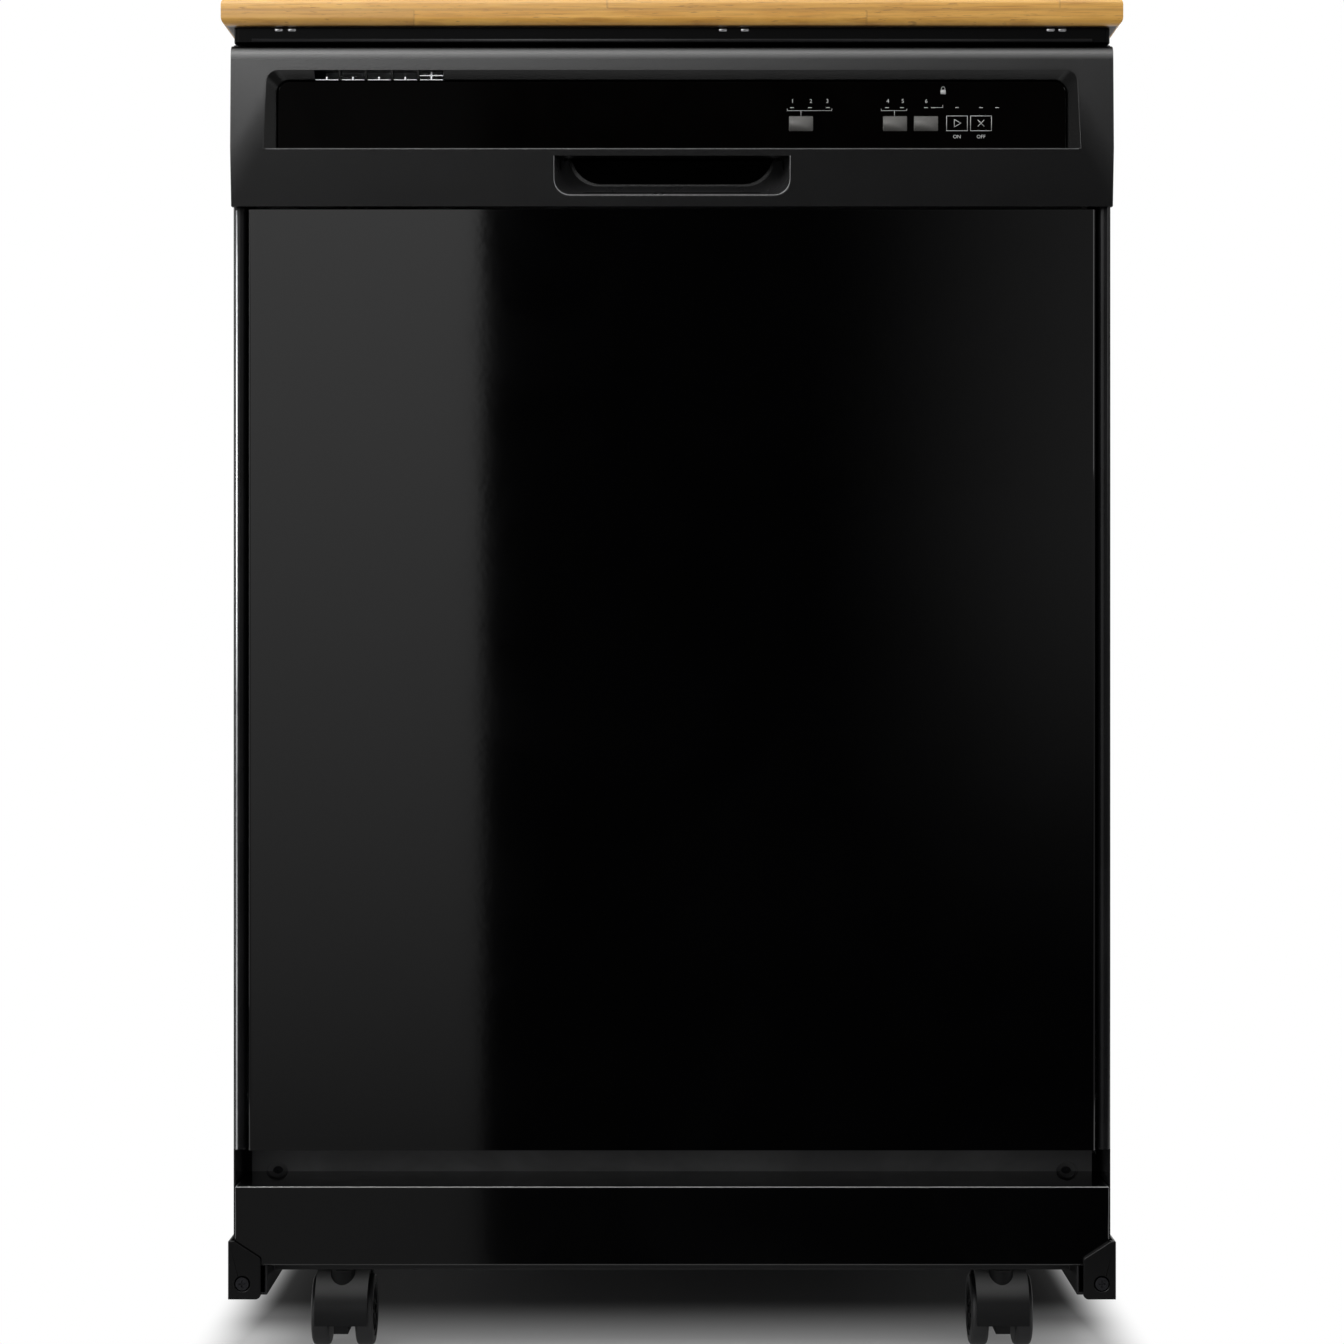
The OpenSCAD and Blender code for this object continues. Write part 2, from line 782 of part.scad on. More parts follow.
// Steel arms up the sides of the door, with a tail for the spring
module hinge_arms() {
  top = z_hinge + 190;
  tail = [25, -12];
  face = concat(
    [[y_hinge - 14, top], [y_hinge - 14, z_hinge]], arc(y_hinge, z_hinge, pivot_r + 1, 190, 290),
    arc(y_hinge + tail[0], z_hinge + tail[1], 5, -80, 80),
    [[y_hinge + 8, z_hinge + 12], [y_hinge + 4, z_hinge + 24], [y_hinge + 4, top]]);
  color("#8a8c8f") both_sides() difference() {
    along_x(face, arm_x, arm_x + arm_t);
    rod_x(y_hinge, z_hinge, pin_r + fit, arm_x - 1, arm_x + arm_t + 1);
    rod_x(y_hinge + tail[0], z_hinge + tail[1], 2.5, arm_x - 1, arm_x + arm_t + 1);
  }
}

// Counterbalance springs low in the sides, each with a link to the hinge arm
module door_springs() {
  spring_z = base_z + 28;
  spring_y0 = y_hinge + 80;
  spring_y1 = spring_y0 + 240;
  spring_x = arm_x - 6;
  hook_y = y_hinge + 25;
  hook_z = z_hinge - 12;
  drop = atan2(hook_z - spring_z, spring_y0 - hook_y);
  run = norm([spring_y0 - hook_y, hook_z - spring_z]);
  color("#7d7f82") both_sides() {
    rod_y(spring_x, spring_z, 9, spring_y0, spring_y1);
    translate([spring_x, hook_y, hook_z]) rotate([-90 - drop, 0, 0]) cylinder(r = 2, h = run + 4);
    rod_x(hook_y, hook_z, 2, spring_x - 1, arm_x + arm_t + 0.5);
    block([spring_x - 8, spring_y1 - 2, base_z + 2], [spring_x + 8, spring_y1 + 2, spring_z + 8]);
  }
}

// Tongue under the worktop that the door latch takes hold of
module latch_strike() {
  w = 10;
  y0 = y_liner_front + 6;
  plate_y = y_tub + 10;
  color("#aeb0b3") difference() {
    union() {
      block([-w, y0, tongue_z], [w, plate_y + 3, tongue_z + tongue_t]);
      block([-w, plate_y, tongue_z], [w, plate_y + 3, cab_z]);
      block([-w - 8, plate_y, cab_z - 3], [w + 8, plate_y + 30, cab_z]);
    }
    block([-4, y0 + 2, tongue_z - 1], [4, y0 + 11, tongue_z + tongue_t + 1]);
  }
}

module latch_body() {
  w = 35;
  y0 = y_liner_front - 2;
  y1 = y_liner - liner_t - 0.2;
  z0 = tongue_z - 25;
  color("#d6d7d9") difference() {
    block([-w, y0, z0], [w, y1, tongue_z + 5]);
    block([-w + 21, y0 + 3, tongue_z - 2], [w - 21, y1 + 1, tongue_z + 6]);
    block([-4, y0 + 3, pawl_z - 7], [4, y1 + 1, tongue_z + 6]);
    rod_x(pawl_y, pawl_z, 2 + fit, -12, 12);
  }
}

// Hook that swings up into the tongue
module latch_pawl() {
  hook = concat(
    arc(pawl_y, pawl_z, 2.9, 90, 270),
    [[pawl_y + 9.5, pawl_z - 3.5], [pawl_y + 11, pawl_z - 1], [pawl_y + 11, pawl_z + 5.5],
     [pawl_y + 8.5, pawl_z + 7], [pawl_y + 8, pawl_z + 3.5]]);
  color("#e8e2cf") {
    along_x(hook, -2.5, 2.5);
    rod_x(pawl_y, pawl_z, 2, -11, 11);
  }
}

// ---------------------------------------------------------------- door

module door_outer_panel() {
  corner_r = 3;
  y1 = y_liner_front;
  top = console_z - 1;
  t = sheet_t;
  color("#0e0f11") difference() {
    along_z(concat(arc(door_w - corner_r, y_door + corner_r, corner_r, 0, -90),
                   arc(-door_w + corner_r, y_door + corner_r, corner_r, -90, -180),
                   [[-door_w, y1], [door_w, y1]]), door_z, top);
    along_z(concat(arc(door_w - corner_r, y_door + corner_r, corner_r - t, 0, -90),
                   arc(-door_w + corner_r, y_door + corner_r, corner_r - t, -90, -180),
                   [[-door_w + t, y1 + 1], [door_w - t, y1 + 1]]), door_z + t, top + 1);
  }
}

// Side outline of the console: a face that leans back over a lower band that tucks in
function console_side() = concat(
  [[y_door - 3, console_z + 0.8], [y_console, recess_z]],
  arc(y_console + 10, cab_z - 8.5, 7, 180, 90, 8),
  [[y_edge - 1.4, cab_z - 1.5], [y_edge - 1.4, console_z + 0.8]]);

// Outline of the console's recess with rounded top corners, drawn in by inset
module recess_outline(inset, y0, y1) {
  w = recess_w - inset;
  top = recess_top - inset;
  r = 8;
  along_y(concat([[w, recess_z], [-w, recess_z]], arc(-w + r, top - r, r, 180, 90),
                 arc(w - r, top - r, r, 90, 0)), y0, y1);
}

// Outline of the handle pocket, drawn in by inset at its sides and foot
function pocket_outline(inset) = concat(
  arc(pocket_w / 2 - inset - 11, pocket_z + inset + 11, 11, 0, -90),
  arc(-pocket_w / 2 + inset + 11, pocket_z + inset + 11, 11, -90, -180),
  [[-pocket_w / 2 + inset, pocket_z + pocket_h], [pocket_w / 2 - inset, pocket_z + pocket_h]]);

module console() {
  core_w = door_w - 1;
  wall_y = recess_y + plastic_t;
  cup_y = y_liner_front - 1;
  grip_z = pocket_z + 40;
  color("#232527") difference() {
    union() {
      difference() {
        union() {
          along_x(console_side(), -console_w, console_w);
          block([-core_w, y_edge - 2, console_z + 0.8], [core_w, y_liner_front, cab_z - 1.5]);
        }
        block([-core_w + plastic_t, wall_y, console_z + 3.3],
              [core_w - plastic_t, y_liner_front + 1, cab_z - 4]);
      }
      block([-pocket_w / 2 - 3, wall_y - 1, pocket_z - 3],
            [pocket_w / 2 + 3, cup_y + 2, grip_z + 2]);
    }
    hull() {
      recess_outline(0, y_console - 3, y_console);
      recess_outline(recess_slope, recess_y - 0.01, recess_y);
    }
    hull() {
      along_y(pocket_outline(0), y_console - 1, y_door - 1);
      along_y(pocket_outline(7), cup_y - 1, cup_y);
    }
    block([-pocket_w / 2 + 7, wall_y, pocket_z + 12], [pocket_w / 2 - 7, cup_y, grip_z]);
    for (i = [0:vent_count - 1])
      block([vent_x + i * vent_pitch, y_console + 2, recess_top - 8.5],
            [vent_x + i * vent_pitch + vent_w, wall_y + 1, recess_top - 2.5]);
  }
}

module control_insert() {
  w = recess_w - recess_slope - gap;
  z1 = recess_top - recess_slope - gap;
  r = 8;
  color("#101113")
    along_y(concat([[w, recess_z + gap], [-w, recess_z + gap]],
                   arc(-w + r, z1 - r, r, 180, 90), arc(w - r, z1 - r, r, 90, 0)),
            recess_y - 2, recess_y);
}

module control_board() {
  y0 = recess_y + plastic_t;
  color("#2f5d3a") {
    block([-20, y0, recess_z + 14], [recess_w - 25, y0 + 1.6, recess_top - 12]);
    block([0, y0 + 1.5, recess_z + 18], [60, y0 + 11, recess_top - 16]);
    block([120, y0 + 1.5, recess_z + 20], [160, y0 + 9, recess_top - 16]);
  }
}

vent_r = 40;
door_vent_x = -field_w + 62;
door_vent_z = tub_top - 78;

// Inner skin of the door: a rim that meets the seal and a field that stands into the tub
module door_liner() {
  t = liner_t;
  z0 = z_hinge + 8;
  z1 = cab_z - 10;
  field_top = tub_top - 17;
  corner = 18;
  slots = 5;
  color("#b9bcc0") difference() {
    union() {
      block([-liner_w, y_liner_front, z0], [liner_w, y_liner, z1]);
      along_y(rounded(-field_w, track_z, field_w, field_top, corner), y_liner - t, y_field);
    }
    block([-liner_w + t, y_liner_front - 1, z0 + t], [liner_w - t, y_liner - t, z1 - t]);
    along_y(rounded(-field_w + t, track_z + t, field_w - t, field_top - t, corner - t),
            y_liner - 2 * t, y_field - t);
    block([disp_x0, y_field - 3, disp_z0], [disp_x1, y_field + 1, disp_z1]);
    block([-15, y_liner_front - 1, tongue_z - 4], [15, y_liner + 1, z1 + 1]);
    for (i = [0:slots - 1])
      block([door_vent_x - 25, y_field - 3, door_vent_z - 22 + 10 * i],
            [door_vent_x + 25, y_field + 1, door_vent_z - 18 + 10 * i]);
  }
}

module door_bottom_seal() {
  y0 = y_liner + gap;
  color("#2b2b2b")
    along_x([[y0, z_hinge + 9], [y0 + 3, z_hinge + 9], [y0 + 4.5, z_hinge + 13],
             [y0 + 3, z_hinge + 16.5], [y0, z_hinge + 16.5]], -field_w, field_w);
}

cup_z = [disp_z0 + 42, disp_z0 + 88];
cup_x = [-38, 28];

// Dispenser housing: a soap cup between two guide rails, and a port for rinse aid
module detergent_dispenser() {
  flange_y = y_field + 2;
  back_y = y_field - 28;
  color("#d9dbdd") {
    difference() {
      union() {
        block([disp_x0 + gap, back_y, disp_z0 + gap], [disp_x1 - gap, flange_y, disp_z1 - gap]);
        block([disp_x0 - 4, y_field, disp_z0 - 4], [disp_x1 + 4, flange_y, disp_z1 + 4]);
      }
      block([cup_x[0], back_y + 4, cup_z[0]], [cup_x[1], flange_y + 1, cup_z[1]]);
      rod_y(cap_x, cap_z, 12 + fit, back_y + 10, flange_y + 1);
    }
    for (x = [lid_x[0] - 3 - gap, lid_x[1] + gap])
      block([x, flange_y - 0.1, lid_z[0]], [x + 3, flange_y + 5.5, disp_z1]);
    block([lid_x[0] - 3 - gap, lid_y + 3 + gap, lid_z[0]], [lid_x[0] + 3, lid_y + 5.2, disp_z1]);
    block([lid_x[1] - 3, lid_y + 3 + gap, lid_z[0]], [lid_x[1] + 3 + gap, lid_y + 5.2, disp_z1]);
  }
}

module dispenser_lid() {
  grip_z = lid_z[0] + 8;
  color("#9fb4c4") {
    block([lid_x[0], lid_y, lid_z[0]], [lid_x[1], lid_y + 3, lid_z[1]]);
    block([lid_x[0] + 15, lid_y + 2.9, grip_z], [lid_x[1] - 15, lid_y + 6, grip_z + 4]);
  }
}

module rinse_aid_cap() {
  y0 = y_field + 2 + gap;
  grip = 2.5;
  color("#3d7fae") {
    rod_y(cap_x, cap_z, cap_r, y0, y0 + 4);
    rod_y(cap_x, cap_z, 12, y_field - 16, y0 + 1);
    block([cap_x - cap_r + 3, y0 + 3, cap_z - grip], [cap_x + cap_r - 3, y0 + 7, cap_z + grip]);
  }
}

// ---------------------------------------------------------------- racks

// Number of gaps nearest to the wire pitch over a length
function gaps(length) = max(2, round(length / wire_pitch));

// Place of wire i of those laid over a length, counted from its low end
function wire_at(low, length, i) = low + (length - wire) * i / gaps(length - wire);

// Place of a line halfway between two long wires, at about a share of a rack's width
function row_at(w, share) = wire_at(-w, 2 * w, floor(share * gaps(2 * w - wire)) + 0.5);

// Floor mat of a rack: cross wires with long wires on them
module rack_floor(w, z0) {
  side = w - wire - seam;
  for (j = [0:gaps(rack_l - wire)]) {
    y = wire_at(rack_front, rack_l, j);
    block([-side, y, z0], [side, y + wire, z0 + wire]);
  }
  for (i = [1:gaps(2 * w - wire) - 1]) {
    x = wire_at(-w, 2 * w, i);
    block([x, rack_front, z0 + wire], [x + wire, rack_rear, z0 + 2 * wire]);
  }
}

// Side mats of a rack: an upright at each cross wire, a foot wire and rims
module rack_sides(w, z0, rims) {
  side = w - wire;
  both_sides() {
    for (j = [0:gaps(rack_l - wire)]) {
      y = wire_at(rack_front, rack_l, j);
      block([side, y, z0], [w, y + wire, rims[len(rims) - 1]]);
    }
    for (z = concat(z0 + 2 * wire, rims))
      block([side, rack_front, z - wire], [w, rack_rear, z]);
  }
}

// Front and rear mats of a rack: they stand on the long wires, between the side mats
module rack_ends(w, z0, rims) {
  side = w - wire - seam;
  for (y = [rack_front, rack_rear - wire]) {
    for (i = [1:gaps(2 * w - wire) - 1]) {
      x = wire_at(-w, 2 * w, i);
      block([x, y, z0 + 2 * wire + seam], [x + wire, y + wire, rims[len(rims) - 1]]);
    }
    for (z = rims)
      block([-side, y, z - wire], [side, y + wire, z]);
  }
}

// A row of upright tines at x, welded to a wire of their own that lies on the cross wires
module tine_row(x, y0, y1, z0, height) {
  n = gaps(y1 - y0);
  foot = z0 + wire + seam;
  block([x, rack_front, foot], [x + wire, rack_rear, z0 + 2 * wire]);
  for (j = [0:n]) {
    y = y0 + (y1 - y0) * j / n;
    block([x, y, foot], [x + wire, y + wire, z0 + 2 * wire + height]);
  }
}

wire_color = "#c8cdd2";

// Bars beside the upper rack that slide in the rails
module rack_runners() {
  neck = 4;
  x = [tub_w - 13.5, tub_w - 6];
  both_sides() {
    block([upper_w + seam, rack_front, rail_mid_z - neck],
          [x[0] + 1, rack_rear - 2, rail_mid_z + neck]);
    block([x[0], rack_front, rail_mid_z - 9.5], [x[1], rack_rear - 2, rail_mid_z + 8]);
  }
}

module upper_rack() {
  rims = [upper_z + 0.5 * upper_h, upper_z + upper_h];
  color(wire_color) {
    rack_floor(upper_w, upper_z);
    rack_sides(upper_w, upper_z, rims);
    rack_ends(upper_w, upper_z, rims);
    for (share = [0.3, 0.7])
      tine_row(row_at(upper_w, share), rack_front + 40, rack_rear - 40, upper_z, 0.55 * upper_h);
  }
  color("#8f9499") rack_runners();
}

// Pipe under the upper rack that carries water to its spray arm
module upper_spray_manifold() {
  y1 = feed_y - 12.5;
  hub_low = upper_arm_z - 6;
  color("#8f9499") {
    difference() {
      union() {
        rod_y(0, manifold_z, feed_r, 3, y1);
        rod_y(0, manifold_z, feed_r + 3, y1 - 8, y1);
        rod_z(0, 0, post_r, hub_low + 2, manifold_z + feed_r + 1);
        for (j = [round(0.6 * gaps(rack_l - wire)), gaps(rack_l - wire) - 1]) {
          y = wire_at(rack_front, rack_l, j);
          block([-10, y, manifold_z + 2], [10, y + wire, upper_z]);
        }
      }
      rod_y(0, manifold_z, feed_r - 2, 6, y1 + 1);
    }
  }
}

module upper_spray_arm() {
  color("#6f7478") difference() {
    spray_arm(upper_arm_z, arm_reach - 22, 22);
    rod_z(0, 0, post_r + fit, upper_arm_z - 3, upper_arm_z + arm_h + 1);
  }
}

// Plates hung on the sides of the lower rack up to height top, each with an axle through it
carrier_t = 3;

module axle_carriers(top) {
  plate_w = 16;
  x0 = lower_w + seam;
  x1 = x0 + carrier_t;
  for (y = [-rack_wheel_y, rack_wheel_y]) both_sides() {
    difference() {
      block([x0, y - plate_w / 2, rack_wheel_z - 6], [x1, y + plate_w / 2, top]);
      rod_x(y, rack_wheel_z, axle_r + fit, x0 - 1, x1 + 1);
    }
    rod_x(y, rack_wheel_z, axle_r, x0, x1 + 12);
  }
}

module lower_rack() {
  rims = [lower_z + 42, lower_z + 90];
  color(wire_color) {
    rack_floor(lower_w, lower_z);
    rack_sides(lower_w, lower_z, rims);
    rack_ends(lower_w, lower_z, rims);
    for (share = [0.12, 0.29, 0.45, 0.62])
      tine_row(row_at(lower_w, share), rack_front + 30, rack_rear - 30, lower_z, 78);
  }
  color("#8f9499") axle_carriers(rims[0]);
}

module rack_wheel_pair(y) {
  hub_x = lower_w + seam + carrier_t + gap;
  wheel_x = hub_x + 1;
  tread_w = 9;
  color("#55585c") both_sides() difference() {
    union() {
      rod_x(y, rack_wheel_z, rack_wheel_r, wheel_x, wheel_x + tread_w);
      rod_x(y, rack_wheel_z, 7, hub_x, wheel_x + tread_w + 1);
    }
    rod_x(y, rack_wheel_z, axle_r + fit, lower_w, wheel_x + 2 * tread_w);
  }
}

module lower_rack_wheels_front() { rack_wheel_pair(-rack_wheel_y); }
module lower_rack_wheels_rear() { rack_wheel_pair(rack_wheel_y); }

basket_x = [lower_w - 83, lower_w - 8];
basket_y = [rack_front + 12, rack_front + 232];
basket_z = [lower_z + 2 * wire, lower_z + 150];

// Long basket for cutlery with one open cell after another and a carrying handle
module silverware_basket() {
  t = 2;
  cell = (basket_y[1] - basket_y[0] - t) / basket_cells;
  mid = (basket_x[0] + basket_x[1]) / 2;
  post = 8;
  handle_z = basket_z[1] + 32;
  post_y0 = basket_y[0] + cell + (t - post) / 2;
  post_y1 = basket_y[1] - cell - (t + post) / 2;
  color("#7f858b") {
    for (y = [post_y0, post_y1])
      block([mid - post / 2, y, basket_z[1] - 20], [mid + post / 2, y + post, handle_z]);
    block([mid - post / 2, post_y0, handle_z - post], [mid + post / 2, post_y1 + post, handle_z]);
    difference() {
      block([basket_x[0], basket_y[0], basket_z[0]], [basket_x[1], basket_y[1], basket_z[1]]);
      for (i = [0:basket_cells - 1])
        block([basket_x[0] + t, basket_y[0] + t + i * cell, basket_z[0] + t],
              [basket_x[1] - t, basket_y[0] + (i + 1) * cell, basket_z[1] + 1]);
    }
  }
}

worktop();
worktop_frame();
side_panel_left();
side_panel_right();
rear_panel();
hose_compartment();
hose_glands();
base_frame();
base_pan();
kick_skirt();
access_panel();
corner_brackets();
cabinet_screws();
caster_stems();
tub();
tub_gasket();
rack_rails();
sump();
filter();
heating_element();
wash_and_drain_pumps();
inlet_valve();
feed_tube();
overfill_float();
lower_spray_arm();
hinge_brackets();
hinge_pins();
door_springs();
latch_strike();
door_outer_panel();
console();
control_insert();
control_board();
door_liner();
detergent_dispenser();
dispenser_lid();
rinse_aid_cap();
latch_body();
latch_pawl();
hinge_arms();
door_bottom_seal();
upper_rack();
upper_spray_manifold();
upper_spray_arm();
lower_rack();
silverware_basket();
lower_rack_wheels_front();
lower_rack_wheels_rear();
caster_hood_front_left();
caster_hood_front_right();
caster_hood_rear_left();
caster_hood_rear_right();
wheel_front_left_inner();
wheel_front_left_outer();
wheel_front_right_inner();
wheel_front_right_outer();
wheel_rear_left_inner();
wheel_rear_left_outer();
wheel_rear_right_inner();
wheel_rear_right_outer();
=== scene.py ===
"""Looks of a portable dishwasher on casters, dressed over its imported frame.

Lengths are in metres and in the frame's axes: the door faces -Y, Z is up and the floor is at zero.
"""

import logging
import math
from collections.abc import Callable, Iterable, Sequence
from dataclasses import dataclass, field
from enum import Enum

import bmesh
import bpy
from mathutils import Matrix, Vector


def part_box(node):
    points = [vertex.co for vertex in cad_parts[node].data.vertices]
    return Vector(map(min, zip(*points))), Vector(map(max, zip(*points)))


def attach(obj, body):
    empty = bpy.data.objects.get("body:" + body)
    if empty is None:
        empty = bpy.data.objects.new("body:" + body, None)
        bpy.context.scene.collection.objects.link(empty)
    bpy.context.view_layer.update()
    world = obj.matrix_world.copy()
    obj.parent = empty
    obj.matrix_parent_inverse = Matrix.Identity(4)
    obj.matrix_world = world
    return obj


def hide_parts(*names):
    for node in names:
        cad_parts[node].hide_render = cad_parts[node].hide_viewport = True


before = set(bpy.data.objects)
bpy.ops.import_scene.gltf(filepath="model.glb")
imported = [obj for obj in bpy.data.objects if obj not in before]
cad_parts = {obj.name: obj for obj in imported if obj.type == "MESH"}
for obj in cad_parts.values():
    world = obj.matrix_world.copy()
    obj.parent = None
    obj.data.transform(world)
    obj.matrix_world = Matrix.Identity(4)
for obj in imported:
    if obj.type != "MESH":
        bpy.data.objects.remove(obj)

LOG = logging.getLogger("dishwasher")
Colour = tuple[float, float, float]
Point = Sequence[float]
Socket = bpy.types.NodeSocket
Feed = Socket | float | Sequence[float]

SIDES = (-1, 1)


def mm(*values: float) -> tuple[float, ...] | float:
    """Millimetres as metres: one number for one value, and a tuple for more.

    Args:
        values: Lengths in millimetres.

    Returns:
        The same lengths in metres.
    """
    made = tuple(value / 1000 for value in values)
    return made[0] if len(made) == 1 else made


# ------------------------------------------------------------------ node trees


class Graph:
    """Wires one node tree. Each method adds a node and returns the socket it puts out."""

    def __init__(self, tree: bpy.types.NodeTree) -> None:
        """Keeps the tree to wire."""
        self.tree = tree

    def node(self, kind: str, **settings: object) -> bpy.types.Node:
        """Adds a node with its settings.

        Args:
            kind: Type name of the node.
            settings: Attributes to set on it.

        Returns:
            The new node.
        """
        made = self.tree.nodes.new(kind)
        for name, value in settings.items():
            setattr(made, name, value)
        return made

    def feed(self, socket: Socket, value: Feed) -> None:
        """Links a socket into another, or sets a plain value on it."""
        if isinstance(value, bpy.types.NodeSocket):
            self.tree.links.new(value, socket)
        else:
            socket.default_value = value

    def fill(self, node: bpy.types.Node, **values: Feed) -> None:
        """Feeds the inputs of a node by their names, with _ for each space."""
        for name, value in values.items():
            self.feed(node.inputs[name.replace("_", " ")], value)

    def math(self, operation: str, a: Feed, b: Feed = 0.0, clamp: bool = False) -> Socket:
        """One step of arithmetic.

        Args:
            operation: Name of the operation.
            a: First number.
            b: Second number.
            clamp: Whether the result is kept between 0 and 1.

        Returns:
            The result.
        """
        made = self.node("ShaderNodeMath", operation=operation, use_clamp=clamp)
        self.feed(made.inputs[0], a)
        self.feed(made.inputs[1], b)
        return made.outputs[0]

    def times(self, a: Feed, b: Feed, clamp: bool = False) -> Socket:
        """The product of two numbers."""
        return self.math("MULTIPLY", a, b, clamp)

    def plus(self, a: Feed, b: Feed, clamp: bool = False) -> Socket:
        """The sum of two numbers."""
        return self.math("ADD", a, b, clamp)

    def minus(self, a: Feed, b: Feed, clamp: bool = False) -> Socket:
        """The first number less the second."""
        return self.math("SUBTRACT", a, b, clamp)

    def most(self, *values: Feed) -> Socket:
        """The largest of two or more numbers."""
        made = values[0]
        for value in values[1:]:
            made = self.math("MAXIMUM", made, value)
        return made

    def normal(self) -> Socket:
        """The surface's own normal."""
        return self.node("ShaderNodeNewGeometry").outputs["Normal"]

    def place(self) -> Socket:
        """Where a point lies on its own piece, in metres."""
        return self.node("ShaderNodeTexCoord").outputs["Object"]

    def split(self, vector: Socket) -> tuple[Socket, Socket, Socket]:
        """The three parts of a vector."""
        made = self.node("ShaderNodeSeparateXYZ")
        self.feed(made.inputs[0], vector)
        return made.outputs[0], made.outputs[1], made.outputs[2]

    def join(self, x: Feed, y: Feed, z: Feed) -> Socket:
        """A vector from its three parts."""
        made = self.node("ShaderNodeCombineXYZ")
        for socket, value in zip(made.inputs, (x, y, z)):
            self.feed(socket, value)
        return made.outputs[0]

    def stretch(self, vector: Socket, by: Feed) -> Socket:
        """A vector with each part multiplied by that of another."""
        made = self.node("ShaderNodeVectorMath", operation="MULTIPLY")
        self.feed(made.inputs[0], vector)
        self.feed(made.inputs[1], by)
        return made.outputs[0]

    def noise(self, where: Socket, scale: Feed, detail: float = 2.0, rough: float = 0.5,
              warp: float = 0.0) -> Socket:
        """Cloudy noise from 0 to 1.

        Args:
            where: Place to read it at.
            scale: Clouds per metre.
            detail: Layers of finer clouds.
            rough: Share that each finer layer keeps.
            warp: How far the clouds are pulled about.

        Returns:
            The noise.
        """
        made = self.node("ShaderNodeTexNoise")
        self.fill(made, Vector=where, Scale=scale, Detail=detail, Roughness=rough, Distortion=warp)
        return made.outputs[0]

    def cells(self, where: Socket, scale: Feed) -> Socket:
        """Distance to the nearest of many scattered points."""
        made = self.node("ShaderNodeTexVoronoi")
        self.fill(made, Vector=where, Scale=scale)
        return made.outputs["Distance"]

    def random(self, where: Socket) -> Socket:
        """White noise from 0 to 1, one value for each whole place."""
        made = self.node("ShaderNodeTexWhiteNoise", noise_dimensions="3D")
        self.feed(made.inputs["Vector"], where)
        return made.outputs["Value"]

    def span(self, value: Feed, low: float, high: float, to_low: float = 0.0,
             to_high: float = 1.0, soft: bool = True) -> Socket:
        """Carries a range over to another.

        Args:
            value: Number to carry over.
            low: Start of its range.
            high: End of its range.
            to_low: Start of the new range.
            to_high: End of the new range.
            soft: Whether both ends are eased.

        Returns:
            The number in its new range, never outside it.
        """
        easing = "SMOOTHSTEP" if soft else "LINEAR"
        made = self.node("ShaderNodeMapRange", interpolation_type=easing, clamp=True)
        for socket, number in zip(made.inputs, (value, low, high, to_low, to_high)):
            self.feed(socket, number)
        return made.outputs[0]

    def mix(self, share: Feed, a: Feed, b: Feed) -> Socket:
        """A colour between a at share 0 and b at share 1."""
        made = self.node("ShaderNodeMix", data_type="RGBA")
        self.feed(made.inputs[0], share)
        for socket, value in ((made.inputs[6], a), (made.inputs[7], b)):
            self.feed(socket, value if isinstance(value, bpy.types.NodeSocket) else opaque(value))
        return made.outputs[2]

    def blend(self, share: Feed, a: Feed, b: Feed) -> Socket:
        """A number between a at share 0 and b at share 1."""
        made = self.node("ShaderNodeMix", data_type="FLOAT")
        self.feed(made.inputs[0], share)
        self.feed(made.inputs[2], a)
        self.feed(made.inputs[3], b)
        return made.outputs[0]

    def ramp(self, share: Feed, stops: Sequence[tuple[float, Colour]]) -> Socket:
        """A colour ramp.

        Args:
            share: Place on the ramp, from 0 to 1.
            stops: Places and their colours, in order.

        Returns:
            The colour there.
        """
        made = self.node("ShaderNodeValToRGB")
        elements = made.color_ramp.elements
        while len(elements) < len(stops):
            elements.new(0.5)
        for element, (at, colour) in zip(elements, stops):
            element.position = at
            element.color = opaque(colour)
        self.feed(made.inputs[0], share)
        return made.outputs[0]

    def bump(self, height: Socket, depth: float) -> Socket:
        """A normal from a height map.

        Args:
            height: Height from 0 to 1.
            depth: What a height of 1 stands for, in metres.

        Returns:
            The normal.
        """
        made = self.node("ShaderNodeBump")
        self.fill(made, Distance=depth, Height=height)
        return made.outputs[0]

    def use(self, group: bpy.types.NodeTree, **values: Feed) -> bpy.types.Node:
        """Places a node group with its own values.

        Args:
            group: The shared group.
            values: Its inputs by name, with _ for each space.

        Returns:
            The placed node.
        """
        made = self.node("ShaderNodeGroup", node_tree=group)
        self.fill(made, **values)
        return made


def opaque(colour: Sequence[float]) -> tuple[float, ...]:
    """A colour with full alpha."""
    return (*colour[:3], 1.0)


def grey(level: float) -> Colour:
    """A grey of one linear level."""
    return level, level, level


def cleared(owner: bpy.types.Material | bpy.types.World) -> Graph:
    """The emptied node tree of a new material or world."""
    owner.use_nodes = True
    owner.node_tree.nodes.clear()
    return Graph(owner.node_tree)


def stand(name: str, data: bpy.types.ID) -> bpy.types.Object:
    """Puts a new object into the scene."""
    made = bpy.data.objects.new(name, data)
    bpy.context.scene.collection.objects.link(made)
    return made


